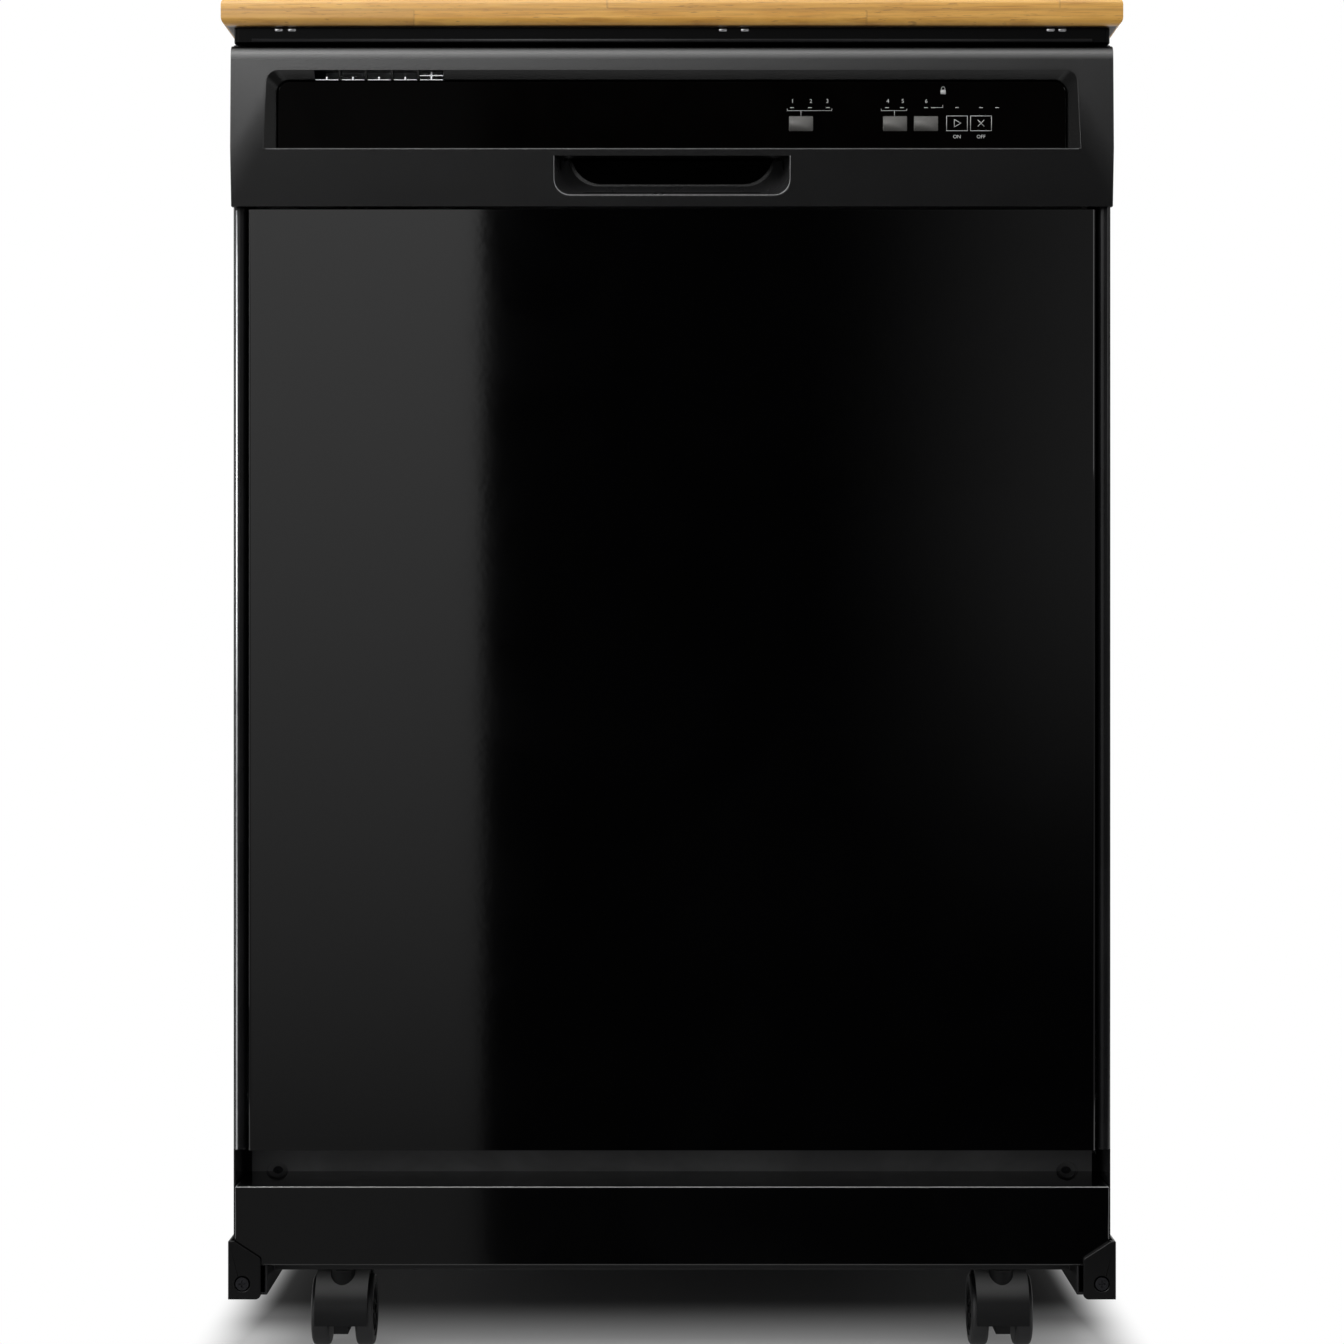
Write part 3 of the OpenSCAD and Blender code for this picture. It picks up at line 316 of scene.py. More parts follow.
class Effects:
    """Shader node groups that several finishes share, each built once."""

    def __init__(self) -> None:
        """Builds every group."""
        self.grain = self._grain()
        self.ripple = self._ripple()
        self.brushing = self._brushing()
        self.wear_and_highlight = self._wear_and_highlight()
        self.dust = self._dust()
        self.handling = self._handling()

    @staticmethod
    def _open(name: str, inputs: dict[str, tuple[str, object]], outputs: Iterable[str]
              ) -> tuple[Graph, bpy.types.Node, bpy.types.Node]:
        """Starts a group with its named sockets.

        Args:
            name: Name of the group.
            inputs: Socket type and default of each input.
            outputs: Names of the outputs, each one number.

        Returns:
            The graph to wire, with its input and output nodes.
        """
        tree = bpy.data.node_groups.new(name, "ShaderNodeTree")
        for title, (kind, default) in inputs.items():
            socket = tree.interface.new_socket(name=title, in_out="INPUT", socket_type=kind)
            socket.default_value = default
        for title in outputs:
            tree.interface.new_socket(name=title, in_out="OUTPUT", socket_type="NodeSocketFloat")
        graph = Graph(tree)
        return graph, graph.node("NodeGroupInput"), graph.node("NodeGroupOutput")

    def _grain(self) -> bpy.types.NodeTree:
        """Sparked grain of a mould: rounded pebbles with finer noise on them."""
        graph, start, end = self._open(
            "Moulded grain", {"Grain Size": ("NodeSocketFloat", 0.0006)}, ("Height", "Speck"))
        scale = graph.math("DIVIDE", 1.0, start.outputs[0])
        place = graph.place()
        pebbles = graph.span(graph.cells(place, scale), 0.0, 0.9, 1.0, 0.0)
        fine = graph.noise(place, graph.times(scale, 2.3), 2.0)
        graph.fill(end, Height=graph.plus(graph.times(pebbles, 0.6), graph.times(fine, 0.4)),
                   Speck=graph.span(graph.noise(place, scale, 3.0, 0.7), 0.42, 0.72))
        return graph.tree

    def _ripple(self) -> bpy.types.NodeTree:
        """Slow waves that a sprayed coat keeps as it dries."""
        graph, start, end = self._open(
            "Sprayed ripple", {"Ripple Size": ("NodeSocketFloat", 0.004)}, ("Height",))
        scale = graph.math("DIVIDE", 1.0, start.outputs[0])
        place = graph.place()
        broad = graph.noise(place, graph.times(scale, 0.22), 1.0)
        graph.fill(end, Height=graph.plus(graph.times(broad, 2.2), graph.noise(place, scale, 1.0)))
        return graph.tree

    def _brushing(self) -> bpy.types.NodeTree:
        """Fine parallel scratches, drawn out along the axis with the smallest stretch."""
        graph, start, end = self._open(
            "Brushed lines", {"Stretch": ("NodeSocketVector", (1.0, 1.0, 1.0))}, ("Height", "Tone"))
        place = graph.stretch(graph.place(), start.outputs[0])
        graph.fill(end, Height=graph.noise(place, 4.0, 4.0, 0.7),
                   Tone=graph.span(graph.noise(place, 1.0, 3.0, 0.6), 0.3, 0.7))
        return graph.tree

    def _wear_and_highlight(self) -> bpy.types.NodeTree:
        """Worn edges and painted highlight: a mask where the surface turns, and a mask of painted
        highlight on the lips that turn upward.
        """
        graph, start, end = self._open(
            "Rubbed edges", {"Width": ("NodeSocketFloat", 0.001)}, ("Edge", "Lip"))
        rounded = graph.node("ShaderNodeBevel", samples=4)
        graph.fill(rounded, Radius=start.outputs[0])
        flat = graph.normal()
        across = graph.node("ShaderNodeVectorMath", operation="DOT_PRODUCT")
        graph.feed(across.inputs[0], rounded.outputs[0])
        graph.feed(across.inputs[1], flat)
        turned = graph.span(across.outputs["Value"], 0.75, 0.99, 1.0, 0.0)
        patchy = graph.span(graph.noise(graph.place(), 60.0, 4.0, 0.6), 0.35, 0.65)
        # Painted highlight: lips whose rounding turns upward are marked to be painted lighter,
        # where light from above would catch them.
        rising = graph.span(graph.split(rounded.outputs[0])[2], 0.15, 0.5)
        upright = graph.span(graph.split(flat)[2], 0.5, 0.8, 1.0, 0.0)
        graph.fill(end, Edge=graph.times(turned, patchy, clamp=True),
                   Lip=graph.times(rising, upright, clamp=True))
        return graph.tree

    def _dust(self) -> bpy.types.NodeTree:
        """Faint dust on what faces up."""
        graph, start, end = self._open(
            "Settled dust", {"Amount": ("NodeSocketFloat", 0.3)}, ("Dust",))
        upward = graph.span(graph.split(graph.normal())[2], 0.7, 1.0)
        cloudy = graph.span(graph.noise(graph.place(), 35.0, 6.0, 0.65), 0.45, 0.75)
        graph.fill(end, Dust=graph.times(graph.times(upward, cloudy), start.outputs[0]))
        return graph.tree

    def _handling(self) -> bpy.types.NodeTree:
        """Broad soft patches where a surface has been wiped and touched."""
        graph, start, end = self._open(
            "Handling", {"Patch Size": ("NodeSocketFloat", 0.08)}, ("Smear",))
        scale = graph.math("DIVIDE", 1.0, start.outputs[0])
        patches = graph.noise(graph.place(), scale, 4.0, 0.6, 0.8)
        graph.fill(end, Smear=graph.span(patches, 0.35, 0.7))
        return graph.tree


# ------------------------------------------------------------------ finishes


@dataclass(frozen=True)
class Finish:
    """What every finish has: a colour and how rough it is.

    Args:
        colour: Linear base colour.
        roughness: Roughness at its smoothest.
    """

    colour: Colour = (0.5, 0.5, 0.5)
    roughness: float = 0.5

    def material(self, name: str, effects: Effects) -> bpy.types.Material:
        """Makes the material.

        Args:
            name: Name of the material.
            effects: The shared node groups.

        Returns:
            A new material with its shader.
        """
        made = bpy.data.materials.new(name)
        graph = cleared(made)
        shader = graph.node("ShaderNodeBsdfPrincipled")
        graph.fill(graph.node("ShaderNodeOutputMaterial"), Surface=shader.outputs[0])
        self.paint(graph, shader, effects)
        made.diffuse_color = opaque(self.colour)
        return made

    def paint(self, graph: Graph, shader: bpy.types.Node, effects: Effects) -> None:
        """Drives the shader's sockets. Each finish has its own."""
        raise NotImplementedError

    def shades(self, dark: float, light: float) -> tuple[Colour, Colour]:
        """The colour made darker and lighter by two factors."""
        low, high = (tuple(part * factor for part in self.colour) for factor in (dark, light))
        return low, high


@dataclass(frozen=True)
class Enamel(Finish):
    """Sprayed enamel on sheet steel.

    Args:
        ripple: Depth of the waves in the coat.
        dust: Amount of dust on what faces up.
        sheen: Specular level.
        lip: How light the painted highlight makes the coat along edges that turn upward.
    """

    ripple: float = 2.2e-6
    dust: float = 0.2
    sheen: float = 0.5
    lip: float = 0.0

    def paint(self, graph: Graph, shader: bpy.types.Node, effects: Effects) -> None:
        """Waves in the gloss, faint wiping marks, worn edges, dust, and a painted highlight along
        lips that turn upward.
        """
        smear = graph.use(effects.handling, Patch_Size=0.11).outputs[0]
        wear_and_highlight = graph.use(effects.wear_and_highlight, Width=0.0012)
        edge, lip = wear_and_highlight.outputs["Edge"], wear_and_highlight.outputs["Lip"]
        dust = graph.use(effects.dust, Amount=self.dust).outputs[0]
        dark, light = self.shades(0.8, 1.25)
        colour = graph.mix(smear, dark, light)
        colour = graph.mix(graph.times(edge, 0.08), colour, (0.06, 0.06, 0.065))
        # Painted highlight: lips that turn upward are painted lighter.
        if self.lip:
            colour = graph.mix(lip, colour, grey(self.lip))
        colour = graph.mix(graph.times(dust, 0.2), colour, (0.22, 0.21, 0.2))
        rough = graph.blend(smear, self.roughness, self.roughness * 1.25)
        height = graph.use(effects.ripple, Ripple_Size=0.0042).outputs[0]
        graph.fill(shader, Base_Color=colour, Normal=graph.bump(height, self.ripple),
                   Roughness=graph.plus(rough, graph.times(dust, 0.25), clamp=True),
                   Specular_IOR_Level=self.sheen)


@dataclass(frozen=True)
class Moulded(Finish):
    """Moulded plastic with the grain of its mould.

    Args:
        grain: Size of one grain.
        depth: Depth of the grain.
        sheen: Specular level.
        dust: Amount of dust on what faces up.
        lip: How light the painted highlight makes the plastic along edges that turn upward.
    """

    grain: float = 0.0007
    depth: float = 3.0e-5
    sheen: float = 0.5
    dust: float = 0.25
    lip: float = 0.0

    def paint(self, graph: Graph, shader: bpy.types.Node, effects: Effects) -> None:
        """Grain with lighter specks, polished edges, dust, and a painted highlight along lips that
        turn upward.
        """
        grain = graph.use(effects.grain, Grain_Size=self.grain)
        smear = graph.use(effects.handling, Patch_Size=0.06).outputs[0]
        wear_and_highlight = graph.use(effects.wear_and_highlight, Width=0.0009)
        edge, lip = wear_and_highlight.outputs["Edge"], wear_and_highlight.outputs["Lip"]
        dust = graph.use(effects.dust, Amount=self.dust).outputs[0]
        dark, light = self.shades(0.82, 1.3)
        colour = graph.mix(grain.outputs["Speck"], dark, light)
        colour = graph.mix(graph.times(edge, 0.3), colour, self.shades(1.0, 1.8)[1])
        # Painted highlight: lips that turn upward are painted lighter.
        if self.lip:
            colour = graph.mix(lip, colour, grey(self.lip))
        colour = graph.mix(graph.times(dust, 0.25), colour, (0.3, 0.29, 0.27))
        rough = graph.blend(smear, self.roughness, min(1.0, self.roughness * 1.07))
        graph.fill(shader, Base_Color=self.shade(graph, colour),
                   Roughness=graph.minus(rough, graph.times(edge, 0.1), clamp=True),
                   Normal=graph.bump(grain.outputs["Height"], self.depth),
                   Specular_IOR_Level=self.sheen)

    def shade(self, graph: Graph, colour: Socket) -> Socket:
        """The colour as it is. A finish that changes over its piece has its own."""
        return colour


@dataclass(frozen=True)
class Recessed(Moulded):
    """Moulded plastic with painted shade inside one recess with rounded top corners, and a painted
    highlight along its upper rim.

    Args:
        half: Half the width of the recess.
        foot: Height of its foot.
        top: Height of its top.
        corner: Radius of its top corners.
        fade: Width of the step between the plastic and its painted shade.
        rim: Height of the rim along which the highlight is painted.
        below: How far the painted highlight band reaches down from there.
        above: How far it reaches up.
        rubbed: How light the painted highlight makes the plastic there.
    """

    half: float = 0.2805
    foot: float = 0.8385
    top: float = 0.8954
    corner: float = 0.008
    fade: float = 0.0006
    rim: float = 0.9045
    below: float = 0.0045
    above: float = 0.003
    # Painted highlight: how light the band along the upper rim is painted.
    rubbed: float = 0.16

    def shade(self, graph: Graph, colour: Socket) -> Socket:
        """Paints black shade inside the outline of the recess, and paints a highlight along the
        upper rim.
        """
        x, _, z = graph.split(graph.place())
        past = (graph.minus(graph.math("ABSOLUTE", x), self.half - self.corner),
                graph.minus(z, self.top - self.corner))
        past = [graph.most(value, 0.0) for value in past]
        reach = graph.math("SQRT", graph.plus(*(graph.times(value, value) for value in past)))
        within = graph.span(reach, self.corner - self.fade, self.corner - 0.0001, 1.0, 0.0)
        inside = graph.times(within, graph.span(z, self.foot, self.foot + self.fade))
        # Painted shade: inside the recess the plastic is painted black, where its walls fall in
        # shade.
        shaded_recess = graph.mix(inside, colour, grey(0.0))
        # Painted highlight: a lighter band along the upper rim, where light from above catches the
        # console's top.
        highlight_band = graph.times(graph.span(z, self.rim - self.below, self.rim),
                           graph.span(z, self.rim, self.rim + self.above, 1.0, 0.0))
        return graph.mix(graph.times(highlight_band, 0.9), shaded_recess, grey(self.rubbed))


@dataclass(frozen=True)
class Hooded(Moulded):
    """Moulded plastic with a painted highlight: greyer towards the top of its piece, where light
    from above would fall.

    Args:
        foot: Height where the grey begins.
        crest: Height where it is full.
        crown: How light the painted highlight is there.
    """

    foot: float = 0.034
    crest: float = 0.05
    crown: float = 0.35

    def shade(self, graph: Graph, colour: Socket) -> Socket:
        """Paints a grey highlight that grows with height, where the plastic faces up."""
        height, upward = graph.split(graph.place())[2], graph.split(graph.normal())[2]
        share = graph.times(graph.span(height, self.foot, self.crest),
                            graph.span(upward, 0.1, 0.55))
        # Painted highlight: the top of the hood is greyed as if lit from above.
        return graph.mix(share, colour, grey(self.crown))


@dataclass(frozen=True)
class Metal(Finish):
    """Bare metal with scratches drawn out along one axis.

    Args:
        stretch: Scratches per metre along each axis.
        depth: Depth of the scratches.
        tint: Colour of the duller patches.
        patch: Size of those patches.
    """

    stretch: Colour = (60.0, 400.0, 400.0)
    depth: float = 1.2e-6
    tint: Colour = (0.3, 0.3, 0.31)
    patch: float = 0.05

    def paint(self, graph: Graph, shader: bpy.types.Node, effects: Effects) -> None:
        """Brushed lines over duller patches."""
        lines = graph.use(effects.brushing, Stretch=self.stretch)
        smear = graph.use(effects.handling, Patch_Size=self.patch).outputs[0]
        dark, light = self.shades(0.86, 1.08)
        colour = graph.mix(lines.outputs["Tone"], dark, light)
        rough = graph.blend(lines.outputs["Tone"], self.roughness, self.roughness + 0.1)
        graph.fill(shader, Base_Color=graph.mix(graph.times(smear, 0.3), colour, self.tint),
                   Roughness=graph.plus(rough, graph.times(smear, 0.08), clamp=True),
                   Normal=graph.bump(lines.outputs["Height"], self.depth), Metallic=1.0)


@dataclass(frozen=True)
class Rubber(Finish):
    """Matt rubber with a fine skin and a bloom in patches."""

    def paint(self, graph: Graph, shader: bpy.types.Node, effects: Effects) -> None:
        """Grey bloom over black, with a fine skin."""
        grain = graph.use(effects.grain, Grain_Size=0.0004)
        smear = graph.use(effects.handling, Patch_Size=0.015).outputs[0]
        dark, light = self.shades(0.8, 1.7)
        rough = graph.blend(grain.outputs["Speck"], self.roughness, self.roughness + 0.12)
        graph.fill(shader, Base_Color=graph.mix(smear, dark, light), Roughness=rough,
                   Normal=graph.bump(grain.outputs["Height"], 1.5e-5), Specular_IOR_Level=0.35)


@dataclass(frozen=True)
class Staves(Finish):
    """Butcher-block laminate: staves laid side by side, wrapped over the front and rear edges.

    Args:
        stave: Width of a stave.
        length: Length of a stave.
        top: Height of the top face.
        shift: How far the staves lie towards the rear.
    """

    stave: float = 0.034
    length: float = 0.31
    top: float = 0.943
    shift: float = 0.0037

    def paint(self, graph: Graph, shader: bpy.types.Node, effects: Effects) -> None:
        """Staves with their own tone, grain and flecks, thin joints, and painted shade on the faces
        that point down.
        """
        x, y, z = graph.split(graph.place())
        drop = graph.minus(self.top, z)
        across = graph.plus(graph.plus(y, self.shift), graph.times(graph.math("SIGN", y), drop))
        row = graph.math("DIVIDE", across, self.stave)
        row_index = graph.math("FLOOR", row)
        shift = graph.random(graph.join(row_index, 3.0, 7.0))
        column = graph.plus(graph.math("DIVIDE", x, self.length), graph.times(shift, 5.0))
        tone = graph.random(graph.join(row_index, graph.math("FLOOR", column), 1.0))
        seed = graph.times(tone, 17.0)
        figure, fine, flecks = (
            graph.noise(graph.join(graph.times(x, near), graph.times(across, far), seed), *settings)
            for near, far, settings in (
                (2.2, 34.0, (3.0, 5.0, 0.62, 1.6)), (9.0, 260.0, (3.0, 3.0, 0.6)),
                (26.0, 330.0, (4.0, 2.0, 0.5))))
        colour = graph.ramp(figure, (
            (0.25, (0.58, 0.265, 0.042)), (0.42, (0.70, 0.345, 0.06)),
            (0.56, (0.80, 0.42, 0.085)), (0.75, (0.88, 0.51, 0.12))))
        joint = graph.most(self._joint(graph, row, 0.018), self._joint(graph, column, 0.0016))
        for share, tint in (
                (graph.span(tone, 0.0, 1.0, 0.0, 0.42, False), (0.88, 0.53, 0.15)),
                (graph.span(graph.math("FRACT", seed), 0.55, 1.0, 0.0, 0.4), (0.52, 0.27, 0.07)),
                (graph.span(fine, 0.46, 0.74, 0.0, 0.6), (0.44, 0.19, 0.035)),
                (graph.span(flecks, 0.63, 0.72, 0.0, 0.55), (0.24, 0.105, 0.032)),
                (graph.times(joint, 0.25), (0.22, 0.10, 0.035))):
            colour = graph.mix(share, colour, tint)
        # Painted shade: faces that point down are painted dark brown.
        below = graph.span(graph.split(graph.normal())[2], -0.98, -0.9, 1.0, 0.0)
        downward_shade = graph.mix(figure, (0.045, 0.028, 0.016), (0.07, 0.045, 0.027))
        smear = graph.use(effects.handling, Patch_Size=0.09).outputs[0]
        rough = graph.blend(smear, self.roughness, self.roughness + 0.12)
        rough = graph.plus(rough, graph.span(flecks, 0.6, 0.72, 0.0, 0.15), clamp=True)
        height = graph.minus(graph.times(fine, 0.5), graph.times(joint, 0.8))
        height = graph.minus(height, graph.span(flecks, 0.6, 0.72, 0.0, 0.5))
        graph.fill(shader, Base_Color=graph.mix(below, colour, downward_shade), Roughness=rough,
                   Normal=graph.bump(height, 2.5e-5), Coat_Weight=0.5, Coat_Roughness=0.2)

    @staticmethod
    def _joint(graph: Graph, counted: Socket, share: float) -> Socket:
        """A thin mask at each whole number of a running count.

        Args:
            graph: The graph to wire.
            counted: Running count of staves.
            share: Half the width of the joint, as a share of one stave.

        Returns:
            1 on the joint and 0 off it.
        """
        offset = graph.math("ABSOLUTE", graph.minus(graph.math("FRACT", counted), 0.5))
        return graph.span(offset, 0.5 - 2 * share, 0.5 - share)


@dataclass(frozen=True)
class Board(Finish):
    """Printed circuit board: solder mask over copper tracks."""

    def paint(self, graph: Graph, shader: bpy.types.Node, effects: Effects) -> None:
        """Tracks, pads and specks of solder."""
        x, _, z = graph.split(graph.place())
        near, far = (
            graph.random(graph.join(graph.math("FLOOR", graph.times(x, wide)),
                                    graph.math("FLOOR", graph.times(z, tall)), seed))
            for wide, tall, seed in ((320.0, 60.0, 2.0), (60.0, 380.0, 5.0)))
        tracks = graph.most(graph.span(near, 0.7, 0.72), graph.span(far, 0.72, 0.74))
        pads = graph.span(graph.cells(graph.place(), 260.0), 0.16, 0.2, 1.0, 0.0)
        colour = graph.mix(tracks, self.colour, self.shades(1.0, 1.9)[1])
        graph.fill(shader, Base_Color=graph.mix(pads, colour, (0.42, 0.42, 0.40)),
                   Roughness=graph.blend(pads, self.roughness, 0.25),
                   Normal=graph.bump(graph.plus(tracks, pads), 4.0e-5))


@dataclass(frozen=True)
class Print(Finish):
    """Screen-printed ink, solid or hatched.

    Args:
        ground: Colour between the lines of a hatch.
        pitch: Spacing of the hatch lines, or 0 for solid ink.
    """

    ground: Colour = (0.01, 0.01, 0.01)
    pitch: float = 0.0

    def paint(self, graph: Graph, shader: bpy.types.Node, effects: Effects) -> None:
        """Slanted lines where there is a hatch, and slightly uneven ink."""
        uneven = graph.noise(graph.place(), 2600.0, 3.0, 0.6)
        ink = graph.mix(uneven, *self.shades(0.85, 1.1))
        if self.pitch:
            x, _, z = graph.split(graph.place())
            run = graph.math("DIVIDE", graph.minus(x, z), self.pitch)
            wave = graph.math("ABSOLUTE", graph.minus(graph.math("FRACT", run), 0.5))
            ink = graph.mix(graph.span(wave, 0.2, 0.26), self.ground, ink)
        graph.fill(shader, Base_Color=ink,
                   Roughness=graph.blend(uneven, self.roughness, self.roughness + 0.15))


class Slot(Enum):
    """Finish of each of the record's material slots."""

    maple_laminate = Staves((0.58, 0.33, 0.11), 0.3)
    black_frame = Moulded((0.0012, 0.0012, 0.0013), 0.42, 0.0006, 8e-6, 0.04)
    black_steel = Enamel((0.007, 0.007, 0.0075), 0.18, 2.0e-6, 0.3, 0.25)
    gloss_black_steel = Enamel((0.0008, 0.0008, 0.0009), 0.035, 1.8e-6, 0.1)
    # The console's plastic, with painted shade inside its recess and painted highlights along its
    # rim and upward lips.
    console_plastic = Recessed((0.0045, 0.0045, 0.0047), 0.25, 0.0009, 6e-5, 0.5, 0.3, 0.12)
    insert_gloss = Enamel((0.0012, 0.001, 0.0009), 0.06, 0.6e-6, 0.05, 0.02)
    # The skirt's enamel, with a painted highlight along its upward lips.
    skirt_plastic = Enamel((0.0012, 0.0012, 0.0013), 0.05, 1.9e-6, 0.3, 0.5, 0.55)
    bracket_plastic = Moulded((0.0015, 0.0015, 0.0016), 0.34, 0.0006, 8e-6, 0.12)
    # The casters' plastic, with a painted grey highlight towards the top of the hoods.
    caster_plastic = Hooded((0.008, 0.0082, 0.0086), 0.44, 0.0008, 3.2e-5, 0.12, 1.2)
    caster_tread = Moulded((0.016, 0.016, 0.017), 0.5, 0.0005, 1.2e-5, 0.4)
    zinc_steel = Metal((0.62, 0.63, 0.65), 0.3, (300.0, 300.0, 60.0),
                       1.5e-6, (0.42, 0.42, 0.44), 0.012)
    screw_steel = Metal((0.018, 0.018, 0.02), 0.42, (700.0, 700.0, 700.0),
                        2e-6, (0.01, 0.01, 0.01), 0.004)
    frame_steel = Enamel((0.006, 0.006, 0.0066), 0.42, 4e-6, 0.12, 0.2)
    pan_plastic = Moulded((0.045, 0.046, 0.05), 0.5, 0.0009, 2e-5)
    stainless = Metal((0.66, 0.665, 0.67), 0.26, (12.0, 420.0, 420.0),
                      1.0e-6, (0.48, 0.48, 0.49), 0.14)
    seal_rubber = Rubber((0.018, 0.018, 0.018), 0.7)
    grey_plastic = Moulded((0.25, 0.265, 0.28), 0.42, 0.0006, 8e-6)
    dark_grey_plastic = Moulded((0.085, 0.09, 0.096), 0.42, 0.0006, 8e-6)
    white_plastic = Moulded((0.70, 0.71, 0.72), 0.34, 0.0006, 5e-6)
    blue_plastic = Moulded((0.045, 0.19, 0.38), 0.32, 0.0006, 5e-6)
    lid_plastic = Moulded((0.40, 0.47, 0.53), 0.28, 0.0006, 4e-6)
    heater_steel = Metal((0.30, 0.27, 0.25), 0.38, (300.0, 300.0, 300.0),
                         2e-6, (0.16, 0.12, 0.13), 0.03)
    spring_steel = Metal((0.26, 0.26, 0.27), 0.34, (300.0, 300.0, 300.0),
                         2e-6, (0.12, 0.1, 0.09), 0.02)
    board_green = Board((0.012, 0.085, 0.03), 0.35)
    rack_nylon = Moulded((0.33, 0.365, 0.405), 0.36, 0.0009, 1.2e-5)
    pawl_nylon = Moulded((0.72, 0.66, 0.52), 0.4, 0.0007, 8e-6)


class Extra(Enum):
    """Finishes that the record has no slot for."""

    # A light grey copy of the black enamel for the kick panel: painted light that makes up for the
    # shade in its recess.
    kick_steel = Enamel((0.2, 0.2, 0.204), 0.42, 3.0e-6, 0.3, 0.3)
    # A lighter copy of the console's plastic for the handle scoop: painted light inside the pocket.
    pocket_plastic = Moulded((0.03, 0.03, 0.031), 0.27, 0.00075, 9e-6, 0.5, 0.0)
    # Light grey plastic for the beads that paint highlights round the handle pocket and along the
    # console's crease.
    rim_plastic = Moulded((0.3, 0.3, 0.305), 0.35, 0.0007, 9e-6, 0.4, 0.0)
    stem_steel = Metal((0.02, 0.02, 0.021), 0.4, (60.0, 400.0, 400.0),
                       1.2e-6, (0.01, 0.01, 0.01), 0.02)
    # Bright metal for the beads that paint highlights on the hems and in the vent slots.
    bright_hem = Metal((0.62, 0.63, 0.64), 0.42, (300.0, 300.0, 30.0),
                       1.0e-6, (0.5, 0.5, 0.51), 0.05)


class Ink(Enum):
    """Inks of the control panel."""

    white_print = Print((0.62, 0.62, 0.62), 0.5)
    hatched_print = Print((0.2, 0.195, 0.185), 0.5, (0.03, 0.03, 0.028), 0.00105)


class Shop:
    """Keeps one material for each finish."""

    def __init__(self) -> None:
        """Builds the shared groups and the materials."""
        effects = Effects()
        self.materials = {
            choice.name: choice.value.material(choice.name, effects)
            for choice in (*Slot, *Extra, *Ink)}

    def __getitem__(self, choice: Slot | Extra | Ink) -> bpy.types.Material:
        """The material of a slot, an extra finish or an ink."""
        return self.materials[choice.name]


# ------------------------------------------------------------------ meshes


class Shell:
    """The modifiers that round a piece: joined corners, smooth curves and eased edges."""

    TURN = math.radians(32)

    def __init__(self) -> None:
        """Builds the node group that joins corners and smooths curves."""
        tree = bpy.data.node_groups.new("Smooth shell", "GeometryNodeTree")
        for way in ("INPUT", "OUTPUT"):
            tree.interface.new_socket(name="Geometry", in_out=way, socket_type="NodeSocketGeometry")
        graph = Graph(tree)
        start, end = graph.node("NodeGroupInput"), graph.node("NodeGroupOutput")
        joined = graph.node("GeometryNodeMergeByDistance")
        smooth = graph.node("GeometryNodeSetMeshNormal", mode="SHARPNESS")
        turned = graph.node("FunctionNodeCompare", data_type="FLOAT", operation="GREATER_THAN")
        turned.inputs[1].default_value = self.TURN
        angle = graph.node("GeometryNodeInputMeshEdgeAngle").outputs["Unsigned Angle"]
        graph.fill(joined, Geometry=start.outputs[0], Distance=1e-5)
        graph.feed(turned.inputs[0], angle)
        graph.fill(smooth, Mesh=joined.outputs[0], Edge_Sharpness=turned.outputs[0])
        graph.feed(end.inputs[0], smooth.outputs[0])
        self.tree = tree

    def round(self, piece: bpy.types.Object, edge: float = 0.0) -> None:
        """Adds the modifiers to a piece.

        Args:
            piece: The piece to round.
            edge: How far each edge is eased, or 0 to leave edges sharp.
        """
        smooth = piece.modifiers.new("Smooth shell", "NODES")
        smooth.node_group = self.tree
        if edge:
            eased = piece.modifiers.new("Eased edges", "BEVEL")
            eased.width = edge
            eased.segments = 2
            eased.limit_method = "ANGLE"
            eased.angle_limit = math.radians(38)
        level = piece.modifiers.new("Flat faces", "WEIGHTED_NORMAL")
        level.mode = "FACE_AREA"
        level.weight = 100
        level.keep_sharp = True


